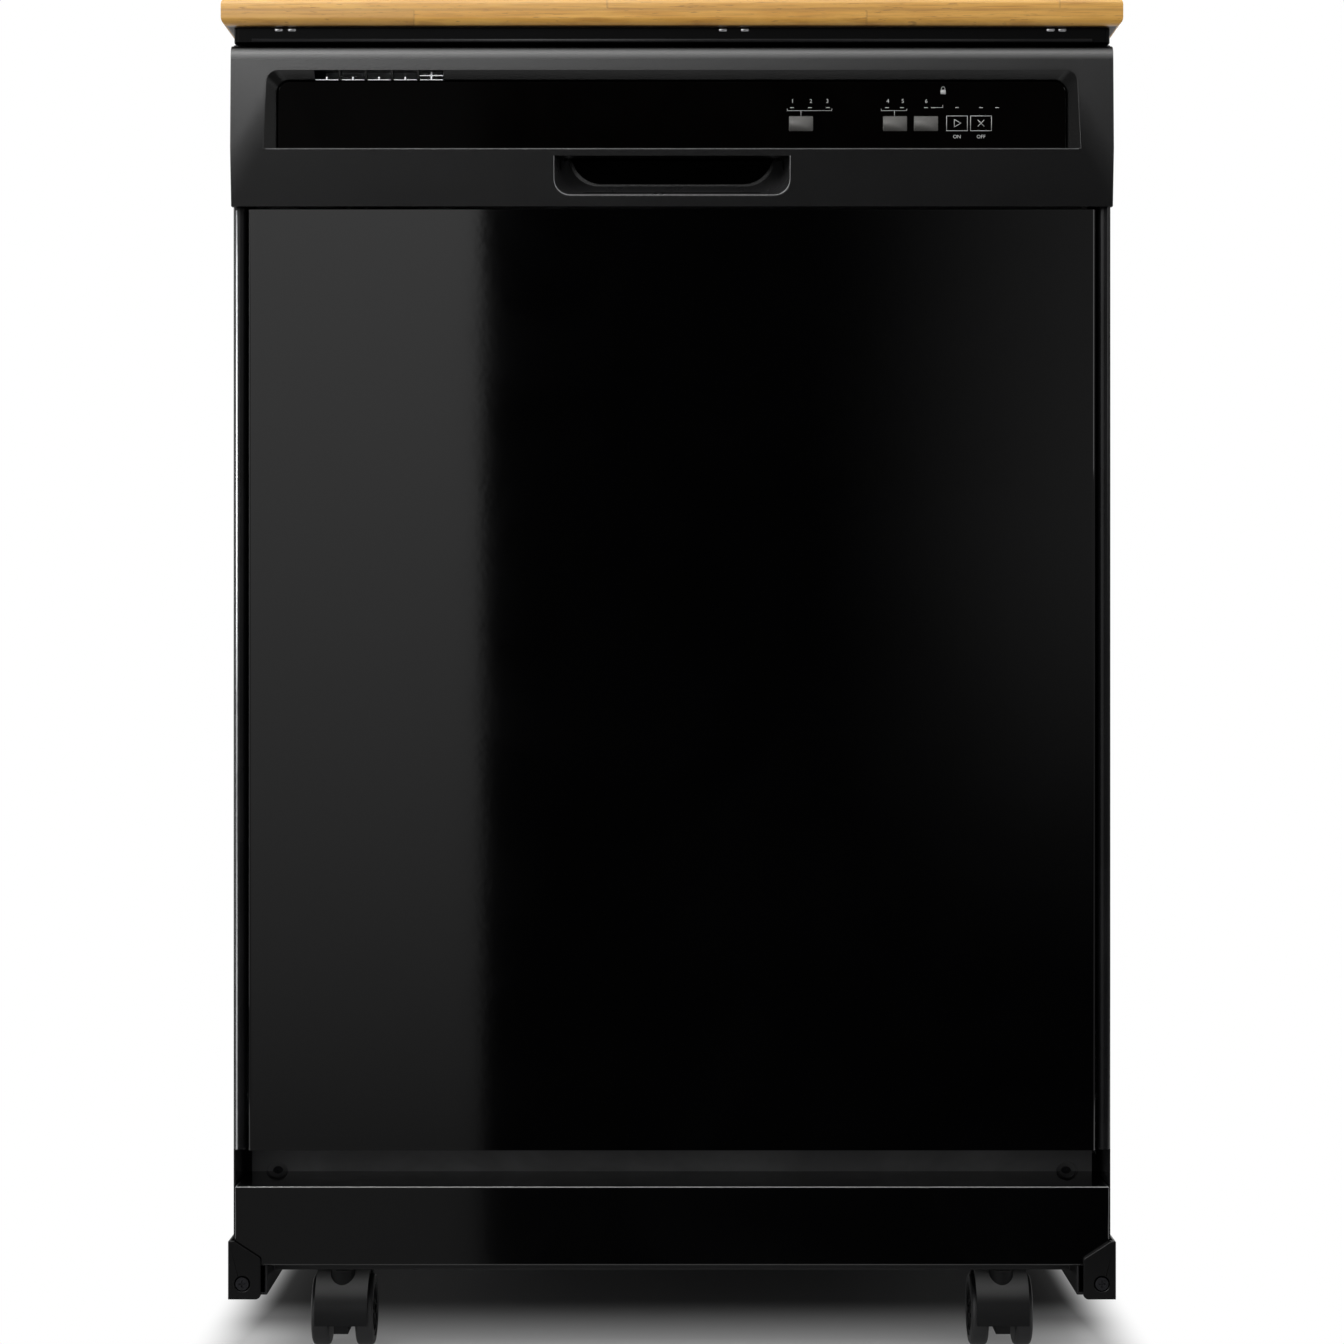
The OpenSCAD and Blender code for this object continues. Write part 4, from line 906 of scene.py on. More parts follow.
class Mould:
    """Builds one mesh from simple parts, all in the frame's axes."""

    def __init__(self) -> None:
        """Starts with an empty mesh."""
        self.bm = bmesh.new()

    def block(self, low: Point, high: Point) -> None:
        """Adds a block between two corners."""
        size = Vector(high) - Vector(low)
        middle = (Vector(high) + Vector(low)) / 2
        where = Matrix.Translation(middle) @ Matrix.Diagonal((*size, 1.0))
        bmesh.ops.create_cube(self.bm, size=1.0, matrix=where)

    def loft(self, rings: Sequence[Sequence[Point]], closed: bool = True, capped: bool = True,
             looped: bool = False) -> None:
        """Joins outlines with as many points each.

        Args:
            rings: The outlines, one after another.
            closed: Whether each outline is a loop.
            capped: Whether the first and last are filled.
            looped: Whether the last is joined to the first instead.
        """
        rows = [[self.bm.verts.new(point) for point in ring] for ring in rings]
        count = len(rows[0])
        steps = count if closed else count - 1
        for low, high in zip(rows, rows[1:] + (rows[:1] if looped else [])):
            for i in range(steps):
                j = (i + 1) % count
                self.bm.faces.new((low[i], low[j], high[j], high[i]))
        if capped and closed and not looped:
            self.bm.faces.new(tuple(reversed(rows[0])))
            self.bm.faces.new(tuple(rows[-1]))

    def tube(self, points: Sequence[Point], radius: float, sides: int = 8, closed: bool = False,
             tip: float = 0.0) -> None:
        """Adds a round wire along a path.

        Args:
            points: The path's points.
            radius: Radius of the wire.
            sides: Faces round it.
            closed: Whether the path is a loop.
            tip: Length of a domed end, or 0 for a flat one.
        """
        path = [Vector(point) for point in points]
        count = len(path)
        rings = []
        normal = None
        for i, point in enumerate(path):
            before = path[(i - 1) % count] if closed or i else path[0]
            after = path[(i + 1) % count] if closed or i < count - 1 else path[-1]
            along = (after - before).normalized()
            if normal is None:
                normal = along.orthogonal().normalized()
            normal = (normal - along * normal.dot(along)).normalized()
            other = along.cross(normal)
            shares = [(0.0, 1.0)]
            if tip and not closed and i == 0:
                shares = [(-tip, 0.35), (-0.55 * tip, 0.8), (0.0, 1.0)]
            if tip and not closed and i == count - 1:
                shares = [(0.0, 1.0), (0.55 * tip, 0.8), (tip, 0.35)]
            for shift, share in shares:
                rings.append([point + along * shift + radius * share *
                              (normal * math.cos(a) + other * math.sin(a)) for a in angles(sides)])
        self.loft(rings, looped=closed)

    def piece(self, name: str, finish: bpy.types.Material, body: str) -> bpy.types.Object:
        """Ends the mesh and makes it a piece that rides on a body.

        Args:
            name: Name of the piece.
            finish: Its material.
            body: The body it rides on.

        Returns:
            The new piece.
        """
        bmesh.ops.recalc_face_normals(self.bm, faces=self.bm.faces)
        mesh = bpy.data.meshes.new(name)
        self.bm.to_mesh(mesh)
        self.bm.free()
        mesh.materials.append(finish)
        for polygon in mesh.polygons:
            polygon.use_smooth = True
        made = stand(name, mesh)
        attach(made, body)
        LOG.info("piece %s: %d faces on %s", name, len(mesh.polygons), body)
        return made


def angles(steps: int) -> list[float]:
    """Evenly spaced angles round a circle."""
    return [2 * math.pi * i / steps for i in range(steps)]


def hoop(x: float, y: float, z: float, reach: float, steps: int) -> list[Point]:
    """A circle across the X axis."""
    return [(x, y + reach * math.cos(a), z + reach * math.sin(a)) for a in angles(steps)]


def rounded(low: tuple[float, float], high: tuple[float, float], radius: float, steps: int = 4
            ) -> list[tuple[float, float]]:
    """Outline of a rectangle with rounded corners.

    Args:
        low: Lowest corner.
        high: Highest corner.
        radius: Radius of the corners.
        steps: Steps round each corner.

    Returns:
        Points in turn.
    """
    corners = (
        (high[0] - radius, high[1] - radius, 0), (low[0] + radius, high[1] - radius, 90),
        (low[0] + radius, low[1] + radius, 180), (high[0] - radius, low[1] + radius, 270))
    made = []
    for x, y, start in corners:
        for i in range(steps + 1):
            angle = math.radians(start + 90 * i / steps)
            made.append((x + radius * math.cos(angle), y + radius * math.sin(angle)))
    return made


def bent(points: Sequence[Point], radius: float, steps: int = 3) -> list[Vector]:
    """A path whose inner corners are rounded as a bent wire's are.

    Args:
        points: Corners of the path.
        radius: How far from a corner its bend starts.
        steps: Steps round a bend.

    Returns:
        The path's points.
    """
    path = [Vector(point) for point in points]
    made = [path[0]]
    for before, corner, after in zip(path, path[1:], path[2:]):
        start = corner + (before - corner).normalized() * radius
        end = corner + (after - corner).normalized() * radius
        for i in range(steps + 1):
            t = i / steps
            made.append(start * (1 - t) ** 2 + corner * (2 * t * (1 - t)) + end * t ** 2)
    made.append(path[-1])
    return made


# ------------------------------------------------------------------ sub-assemblies


@dataclass
class SubAssembly:
    """A group of pieces that are built and dressed together.

    Args:
        shop: Where the materials come from.
        shell: What rounds the pieces.
    """

    shop: Shop
    shell: Shell
    edges: dict[str, float] = field(default_factory=dict)

    def build(self) -> None:
        """Builds the pieces that the frame doesn't have."""

    def dress(self) -> None:
        """Gives each of the frame's own nodes its finish and its eased edges."""
        for node, edge in self.edges.items():
            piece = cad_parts[node]
            for slot in piece.material_slots:
                slot.material = self.shop.materials[slot.material.name.split(".")[0]]
            self.shell.round(piece, edge)
            LOG.info("dressed %s", node)


@dataclass
class Worktop(SubAssembly):
    """The laminate slab, its black frame and the clips between them.

    Args:
        clip_x: Places of the clips from left to right.
        lip_half: Half the length of the bright lip over the console.
    """

    edges: dict[str, float] = field(default_factory=lambda: {
        "worktop": 0.0, "worktop_frame": 0.0006})
    clip_x: tuple[float, ...] = (-0.270, -0.261, 0.035, 0.050, 0.260, 0.268)
    lip_half: float = 0.2885

    def build(self) -> None:
        """Adds the clips under the slab and the lip over the console."""
        low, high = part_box("worktop_frame")
        clips = Mould()
        for x in self.clip_x:
            y = low.y - 0.0004
            outline = rounded((x - 0.0028, high.z - 0.0026), (x + 0.0028, high.z - 0.0006), 0.0009)
            clips.loft([[(px, at, pz) for px, pz in outline] for at in (y, y + 0.0012)])
        clips.piece("worktop_clips", self.shop[Slot.zinc_steel], "cabinet")
        lip = Mould()
        outline = rounded((low.y - 0.0008, low.z + 0.0001), (low.y + 0.004, low.z + 0.0024),
                          0.0008, 3)
        lip.loft([[(x, y, z) for y, z in outline] for x in (-self.lip_half, self.lip_half)])
        made = lip.piece("worktop_lip", self.shop[Slot.frame_steel], "cabinet")


@dataclass
class Cabinet(SubAssembly):
    """Side and rear panels, the base frame and everything fixed to them.

    Args:
        hem_left: Place of the left panel's hem along X.
        hem_right: Place of the right panel's hem along X.
    """

    hem_left: float = -0.3002
    hem_right: float = 0.2985
    edges: dict[str, float] = field(default_factory=lambda: {
        "side_panel_left": 0.0, "side_panel_right": 0.0, "rear_panel": 0.0003,
        "hose_compartment": 0.0006, "hose_glands": 0.0007, "base_frame": 0.0008, "base_pan": 0.0008,
        "kick_skirt": 0.0013, "access_panel": 0.0004, "corner_brackets": 0.0009,
        "cabinet_screws": 0.0003, "caster_stems": 0.0006, "latch_strike": 0.0004,
        "hinge_brackets": 0.0004, "hinge_pins": 0.0005})

    def build(self) -> None:
        """Adds the rear panel's ribs and screws, the beads of painted highlight on the hems and the
        door springs' coils.
        """
        self._rear_details()
        self._hems()
        self._springs()

    def dress(self) -> None:
        """Dresses the nodes, then gives the kick panel a light grey coat, painted light in its
        shaded recess, and blackens the stems.
        """
        super().dress()
        # Painted light: the kick panel gets a light grey copy of the black enamel, for the shade in
        # its recess.
        for node, finish in (("access_panel", Extra.kick_steel),
                             ("caster_stems", Extra.stem_steel)):
            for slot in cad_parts[node].material_slots:
                slot.material = self.shop[finish]

    def _hems(self) -> None:
        """Beads of bright metal on the side panels' folded hems beside the door and on the skirt's
        ends, as painted highlights.
        """
        door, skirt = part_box("door_outer_panel"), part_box("kick_skirt")
        hems = Mould()
        for node, x, reach in (("side_panel_left", self.hem_left, 0.0007),
                               ("side_panel_right", self.hem_right, 0.0003)):
            self._hem(hems, x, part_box(node)[0].y, reach, (door[0].z, door[1].z))
        for x in (skirt[0].x + 0.0012, skirt[1].x - 0.0012):
            self._hem(hems, x, skirt[0].y + 0.0001, 0.00035,
                      (skirt[0].z + 0.012, skirt[1].z - 0.002))
        hems.piece("side_panel_hems", self.shop[Extra.bright_hem], "cabinet")

    @staticmethod
    def _hem(mould: Mould, x: float, y: float, reach: float, rise: tuple[float, float]) -> None:
        """One upright bead.

        Args:
            mould: The mesh to add to.
            x: Its place along X.
            y: The face that it lies on.
            reach: Half its width.
            rise: Its foot and its top.
        """
        outline = [(x + reach * math.cos(a), y + 0.0002 + 0.7 * reach * math.sin(a))
                   for a in angles(10)]
        mould.loft([[(px, py, z) for px, py in outline] for z in rise])

    def _rear_details(self) -> None:
        """Pressed ribs across the rear panel and the screws along its edges."""
        low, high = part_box("rear_panel")
        ribs = Mould()
        half, tall, slope, sunk, proud = 0.23, 0.012, 0.004, 0.0016, 0.0018
        for i in range(4):
            z = low.z + (0.36 + 0.15 * i) * (high.z - low.z)
            base = rounded((-half, z - tall), (half, z + tall), tall * 0.98, 6)
            crest = rounded((-half + slope, z - tall + slope), (half - slope, z + tall - slope),
                            0.0078, 6)
            ribs.loft([[(x, y, rise) for x, rise in outline] for outline, y in (
                (base, high.y - sunk), (base, high.y - 0.0001), (crest, high.y - 0.0003 + proud))])
        made = ribs.piece("rear_panel_ribs", self.shop[Slot.black_steel], "cabinet")
        heads = Mould()
        gaps, margin = 5, 0.02
        for side in SIDES:
            for i in range(gaps + 1):
                z = low.z + margin + i * (high.z - low.z - 2 * margin) / gaps
                self._screw_head(heads, (side * (high.x - 0.009), high.y, z), 0.0042)
        made = heads.piece("rear_panel_screws", self.shop[Slot.screw_steel], "cabinet")
        self.shell.round(made)

    @staticmethod
    def _screw_head(mould: Mould, at: Point, radius: float) -> None:
        """A domed hexagon head on its washer, facing +Y.

        Args:
            mould: The mesh to add to.
            at: Middle of its seat.
            radius: Radius of the washer.
        """
        x, y, z = at
        half_side = math.radians(30)
        rings = []
        for share, lift, flats in (
                (1.0, -0.0004, False), (1.0, 0.0004, False), (0.93, 0.0006, False),
                (0.7, 0.0007, True), (0.7, 0.0019, True), (0.5, 0.0022, False)):
            ring = []
            for a in angles(24):
                reach = radius * share
                if flats:
                    reach *= math.cos(half_side) / math.cos(a % (2 * half_side) - half_side)
                ring.append((x + reach * math.cos(a), y + lift, z + reach * math.sin(a)))
            rings.append(ring)
        mould.loft(rings)

    def _springs(self) -> None:
        """Coils, links and anchors of the two door springs."""
        low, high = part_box("door_springs")
        coils = Mould()
        reach, wire, turns, per_turn = 0.0078, 0.0011, 52, 10
        link, lug, steps = 0.0018, 0.008, turns * per_turn
        start, end = low.y + 0.055 + 0.0023, high.y - 0.004
        for side in SIDES:
            x, z = side * (high.x - 0.0093), low.z + 0.026
            path = []
            for i in range(steps + 1):
                a = 2 * math.pi * i / per_turn
                y = start + (end - start) * i / steps
                path.append((x + reach * math.cos(a), y, z + reach * math.sin(a)))
            coils.tube(path, wire, 5)
            hook = (x, low.y + 0.002, high.z - 0.002)
            corners = [(x + side * 0.0088, *hook[1:]), hook, (x, start - 0.004, z),
                       (x, start + 0.002, z)]
            coils.tube(bent(corners, 0.003), link, tip=0.0008)
            coils.block((x - lug, end, low.z), (x + lug, high.y, z + lug))
        made = coils.piece("door_spring_coils", self.shop[Slot.spring_steel], "cabinet")
        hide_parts("door_springs")
        self.shell.round(made)


@dataclass
class Casters(SubAssembly):
    """Hoods and wheels, with a ribbed cap in the dish of each wheel.

    Args:
        ribs: Number of ribs in a cap.
    """

    ribs: int = 6
    corners: tuple[str, ...] = ("front_left", "front_right", "rear_left", "rear_right")

    def __post_init__(self) -> None:
        """Lists the nodes of every corner."""
        self.edges = {f"caster_hood_{corner}": 0.0008 for corner in self.corners}
        self.edges |= {f"wheel_{corner}_{side}": 0.0 for corner in self.corners
                       for side in ("inner", "outer")}

    def build(self) -> None:
        """Adds the caps of the wheels."""
        for corner in self.corners:
            hood_low, hood_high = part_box(f"caster_hood_{corner}")
            middle = (hood_low.x + hood_high.x) / 2
            for side in ("inner", "outer"):
                self._cap(corner, side, middle)

    def _cap(self, corner: str, side: str, middle: float) -> None:
        """A ring, a hub and ribs in the dish of one wheel.

        Args:
            corner: Corner of the cabinet.
            side: Which of the two wheels.
            middle: Where the caster's swivel axis stands along X.
        """
        name = f"wheel_{corner}_{side}"
        low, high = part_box(name)
        y, z = (low.y + high.y) / 2, (low.z + high.z) / 2
        out = 1 if (low.x + high.x) / 2 > middle else -1
        face = high.x if out > 0 else low.x
        seat, crest = face - out * 0.0016, face - out * 0.0004
        cap = Mould()
        for inner, outer in ((0.0038, 0.0068), (0.0152, 0.0178)):
            corners = ((inner, seat), (inner, crest), (outer, crest), (outer, seat))
            cap.loft([hoop(at, y, z, reach, 48) for reach, at in corners], capped=False)
        foot, top = 0.0012, 0.0007
        for a in angles(self.ribs):
            along = Vector((0, math.cos(a), math.sin(a)))
            across = Vector((0, -math.sin(a), math.cos(a)))
            rows = []
            for reach in (0.0064, 0.0156):
                rim = Vector((0, y, z)) + along * reach
                rows.append([(at, *(rim + across * shift)[1:]) for at, shift in
                             ((seat, -foot), (crest, -top), (crest, top), (seat, foot))])
            cap.loft(rows)
        made = cap.piece(f"{name}_cap", self.shop[Slot.caster_plastic], name)
        self.shell.round(made, 0.0002)


@dataclass
class Tub(SubAssembly):
    """The tub, its seal and rails, and the wash system in and under it."""

    edges: dict[str, float] = field(default_factory=lambda: {
        "tub": 0.0008, "tub_gasket": 0.001, "rack_rails": 0.0005, "sump": 0.0008, "filter": 0.0005,
        "heating_element": 0.0, "wash_and_drain_pumps": 0.0012, "inlet_valve": 0.001,
        "feed_tube": 0.0007, "overfill_float": 0.0012, "lower_spray_arm": 0.0014,
        "upper_spray_manifold": 0.0008, "upper_spray_arm": 0.0014})

    def build(self) -> None:
        """Adds the fins of the pump motor."""
        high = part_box("wash_and_drain_pumps")[1]
        fins = Mould()
        z, y, radius = high.z - 0.038, high.y - 0.038, 0.0325
        foot, crest, thick, pitch, first = radius - 0.001, radius + 0.0018, 0.002, 0.0065, 0.101
        for i in range(7):
            x = first + i * pitch
            corners = ((foot, x), (crest, x), (crest, x + thick), (foot, x + thick))
            fins.loft([hoop(at, y, z, reach, 40) for reach, at in corners], capped=False)
        made = fins.piece("pump_motor_fins", self.shop[Slot.dark_grey_plastic], "cabinet")
        self.shell.round(made)


@dataclass
class Door(SubAssembly):
    """The door: gloss panel, console with its insert, liner, dispenser, latch and arms.

    Args:
        pocket_depth: How deep the scoop of the handle reaches.
    """

    pocket_depth: float = 0.0245
    edges: dict[str, float] = field(default_factory=lambda: {
        "door_outer_panel": 0.0004, "console": 0.0006, "control_insert": 0.0004,
        "control_board": 0.0002, "door_liner": 0.0008, "detergent_dispenser": 0.0006,
        "dispenser_lid": 0.0007,
        "rinse_aid_cap": 0.0007, "latch_body": 0.0005, "latch_pawl": 0.0003, "hinge_arms": 0.0004,
        "door_bottom_seal": 0.0006})

    def build(self) -> None:
        """Adds the scoop of the handle with a plate of painted shade at its back and beads of
        painted highlight at its rim, and the grille of the vents with its painted highlights.
        """
        self._scoop()
        self._vents()

    def _scoop(self) -> None:
        """A smooth scoop in a lighter copy of the console's plastic, painted light, that lines the
        sides and foot of the handle pocket, and a near-black plate at its back as painted shade.
        """
        half, foot, top, corner = mm(81.5, 807.0, 834.0, 11.0)
        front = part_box("control_insert")[0].y - 0.0035
        mouth, taper, heel, swell = 0.0004, 0.0066, 0.0045, 0.010
        steps, arc = 14, 12
        rows = []
        for i in range(steps + 1):
            t = i / steps
            inset = mouth + taper * t + heel * max(0.0, (t - 0.55) / 0.45) ** 2.2
            radius = corner + swell * t
            y = front + self.pocket_depth * (1 - (1 - t) ** 1.15)
            reach = half - inset - radius
            row = [(-half + inset, y, top)]
            for middle, start in ((-reach, 180), (reach, 270)):
                for k in range(arc + 1):
                    a = math.radians(start + 90 * k / arc)
                    row.append((middle + radius * math.cos(a), y,
                                foot + inset + radius + radius * math.sin(a)))
            row.append((half - inset, y, top))
            rows.append(row)
        scoop = Mould()
        scoop.loft(rows, closed=False, capped=False)
        # Painted light: the scoop is lighter than the console's plastic, for the light inside the
        # pocket.
        made = scoop.piece("handle_scoop", self.shop[Extra.pocket_plastic], "door")
        # Painted shade: a near-black plate at the pocket's back, where it lies in shade.
        back = Mould()
        back.loft([[(x, y + shift, z) for x, y, z in rows[-1]] for shift in (-0.0024, 0.0005)])
        back.piece("handle_back", self.shop[Slot.black_frame], "door")
        self._rim([(x, z) for x, _, z in rows[0]], half, top)

    def _rim(self, outline: Sequence[tuple[float, float]], half: float, top: float) -> None:
        """Painted highlights: a light grey edge round the pocket's mouth, and a light grey line
        along the console's crease.

        Args:
            outline: The mouth in X and Z.
            half: Half its width.
            top: Height of its open side.
        """
        thick, front, back = 0.0002, -0.0001, 0.0004
        ring = ((thick, front), (-thick, front), (-thick, back), (thick, back), (thick, front))
        rim = Mould()
        rim.loft([[(x * (1 + out / half), self._face(z) + y, z - (out if z < top else 0.0))
                   for x, z in outline] for out, y in ring], closed=False, capped=False)
        width, crease = mm(279.0, 838.5)
        rim.block((-width, self._face(crease) - thick, crease - thick),
                  (width, self._face(crease) + thick, crease + thick / 2))
        rim.piece("handle_rim", self.shop[Extra.rim_plastic], "door")

    @staticmethod
    def _face(z: float) -> float:
        """Where the sloping face of the console lies at one height."""
        foot, foot_y, rise, lean = 0.7998, -0.325, 0.0392, 0.005
        return foot_y - lean * (z - foot) / rise

    def _vents(self) -> None:
        """A peg and a sill in each vent slot, and a cross in the last, in bright metal as painted
        highlights in the slots.
        """
        grille = Mould()
        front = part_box("console")[0].y
        near, sill, back = front + 0.0062, front + 0.0068, front + 0.0085
        foot, top = mm(886.9, 892.9)
        waist = (foot + top) / 2
        for i in range(5):
            left, right = mm(-245.8 + 18 * i, -229.3 + 18 * i)
            middle, last = (left + right) / 2, i == 4
            grille.block((middle - 0.0006, near, foot - 0.0002),
                         (middle + 0.0006, back, top if last else foot + 0.0022))
            if last:
                grille.block((left, near, waist - 0.0004), (right, back, waist + 0.0004))
            grille.block((left + 0.0004, sill, foot - 0.0001),
                         (right - 0.0004, back, foot + 0.0005))
        # Painted highlight: the grille's bright metal lights up the edges of the vent slots.
        made = grille.piece("console_vent_grille", self.shop[Extra.bright_hem], "door")
        self.shell.round(made, 0.00015)


@dataclass(frozen=True)
class Label:
    """A plain number, ON or OFF on the panel.

    Args:
        text: What it says.
        x: Middle of it, in millimetres.
        z: Its base line, in millimetres.
        height: Size of its figures, in millimetres.
    """

    text: str
    x: float
    z: float
    height: float = 3.4


@dataclass
class PanelPrint(SubAssembly):
    """Printed keys, lamps and brackets on the gloss insert."""

    pads: tuple[tuple[float, float], ...] = ((80.6, 97.1), (145.3, 161.8), (166.6, 183.2))
    keys: tuple[tuple[float, float], ...] = ((188.9, 203.6), (205.4, 220.2))
    lamps: tuple[float, ...] = (82.6, 95.0, 107.4, 148.1, 158.4, 174.9, 179.7, 196.3, 212.8, 223.8)
    labels: tuple[Label, ...] = (
        Label("1", 83.0, 871.4), Label("2", 95.6, 871.4), Label("3", 107.0, 871.4),
        Label("4", 148.6, 871.4), Label("5", 158.9, 871.4), Label("6", 175.1, 871.4),
        Label("ON", 196.2, 847.0, 3.1), Label("OFF", 212.8, 847.0, 3.1))

    def build(self) -> None:
        """Prints every mark a hair in front of the insert."""
        self.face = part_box("control_insert")[0].y
        self._pads()
        self._marks()
        self._figures()

    def _flat(self, mould: Mould, outline: Sequence[tuple[float, float]]) -> None:
        """Adds a thin printed shape from its outline in X and Z, in metres."""
        mould.loft([[(x, self.face + lift, z) for x, z in outline] for lift in (-0.00006, 0.00002)])

    def _stroke(self, mould: Mould, x0: float, z0: float, x1: float, z1: float) -> None:
        """Adds a thin printed bar between two corners in millimetres."""
        x0, z0, x1, z1 = mm(x0, z0, x1, z1)
        self._flat(mould, [(x0, z0), (x1, z0), (x1, z1), (x0, z1)])

    def _pads(self) -> None:
        """The hatched key pads."""
        pads = Mould()
        for x0, x1 in self.pads:
            self._flat(pads, rounded(mm(x0, 852.0), mm(x1, 862.2), 0.0004))
        pads.piece("panel_pads", self.shop[Ink.hatched_print], "door")

    def _marks(self) -> None:
        """Lamps, brackets, outlined keys, their symbols and the lock."""
        marks = Mould()
        for x in self.lamps:
            self._stroke(marks, x - 1.3, 867.85, x + 1.3, 868.35)
        for x0, x1, stem in ((79.2, 110.2, 88.8), (143.9, 161.8, 153.2)):
            self._stroke(marks, x0, 865.9, x1, 866.2)
            self._stroke(marks, x0, 866.2, x0 + 0.35, 867.3)
            self._stroke(marks, x1 - 0.35, 866.2, x1, 867.3)
            self._stroke(marks, stem - 0.18, 862.6, stem + 0.18, 865.9)
        self._stroke(marks, 181.0, 868.0, 186.6, 868.3)
        self._stroke(marks, 186.3, 868.3, 186.6, 869.9)
        for x0, x1 in self.keys:
            self._stroke(marks, x0, 852.0, x1, 852.4)
            self._stroke(marks, x0, 862.2, x1, 862.6)
            self._stroke(marks, x0, 852.4, x0 + 0.4, 862.2)
            self._stroke(marks, x1 - 0.4, 852.4, x1, 862.2)
        self._symbol(marks, [(194.4, 860.0), (194.4, 854.8), (198.9, 857.4)], 0.42)
        for lean in SIDES:
            self._slant(marks, 212.8, 857.4, 2.1, lean)
        self._flat(marks, rounded(mm(184.9, 877.4), mm(188.5, 880.4), 0.0003))
        self._symbol(marks, [(185.5, 880.3), (185.5, 881.6), (186.2, 882.4), (187.2, 882.4),
                             (187.9, 881.6), (187.9, 880.3)], 0.4, closed=False)
        marks.piece("panel_marks", self.shop[Ink.white_print], "door")

    def _symbol(self, mould: Mould, points: Sequence[tuple[float, float]], thick: float,
                closed: bool = True) -> None:
        """Adds a thin line along points in millimetres.

        Args:
            mould: The mesh to add to.
            points: Corners of the line.
            thick: Width of the line in millimetres.
            closed: Whether it returns to its start.
        """
        ends = list(points[1:]) + ([points[0]] if closed else [])
        for start, end in zip(points, ends):
            a, b = Vector(mm(*start)), Vector(mm(*end))
            along = (b - a).normalized() * mm(thick) / 2
            side = Vector((-along.y, along.x))
            corners = (a - along + side, b + along + side, b + along - side, a - along - side)
            self._flat(mould, [tuple(corner) for corner in corners])

    def _slant(self, mould: Mould, x: float, z: float, reach: float, lean: int) -> None:
        """Adds one stroke of a cross about a point, in millimetres."""
        ends = [(x - reach, z - lean * reach), (x + reach, z + lean * reach)]
        self._symbol(mould, ends, 0.42, False)

    def _figures(self) -> None:
        """Prints the numbers, ON and OFF as a single mesh."""
        figures = Mould()
        for label in self.labels:
            curve = bpy.data.curves.new("figure", "FONT")
            curve.body = label.text
            curve.size = mm(label.height) * 1.12
            curve.align_x = "CENTER"
            curve.resolution_u = 3
            carrier = stand("figure", curve)
            shape = carrier.to_mesh()
            turn = Matrix.Translation((mm(label.x), self.face - 0.00006, mm(label.z)))
            shape.transform(turn @ Matrix.Rotation(math.radians(90), 4, "X"))
            figures.bm.from_mesh(shape)
            carrier.to_mesh_clear()
            bpy.data.objects.remove(carrier)
        figures.piece("panel_figures", self.shop[Ink.white_print], "door")


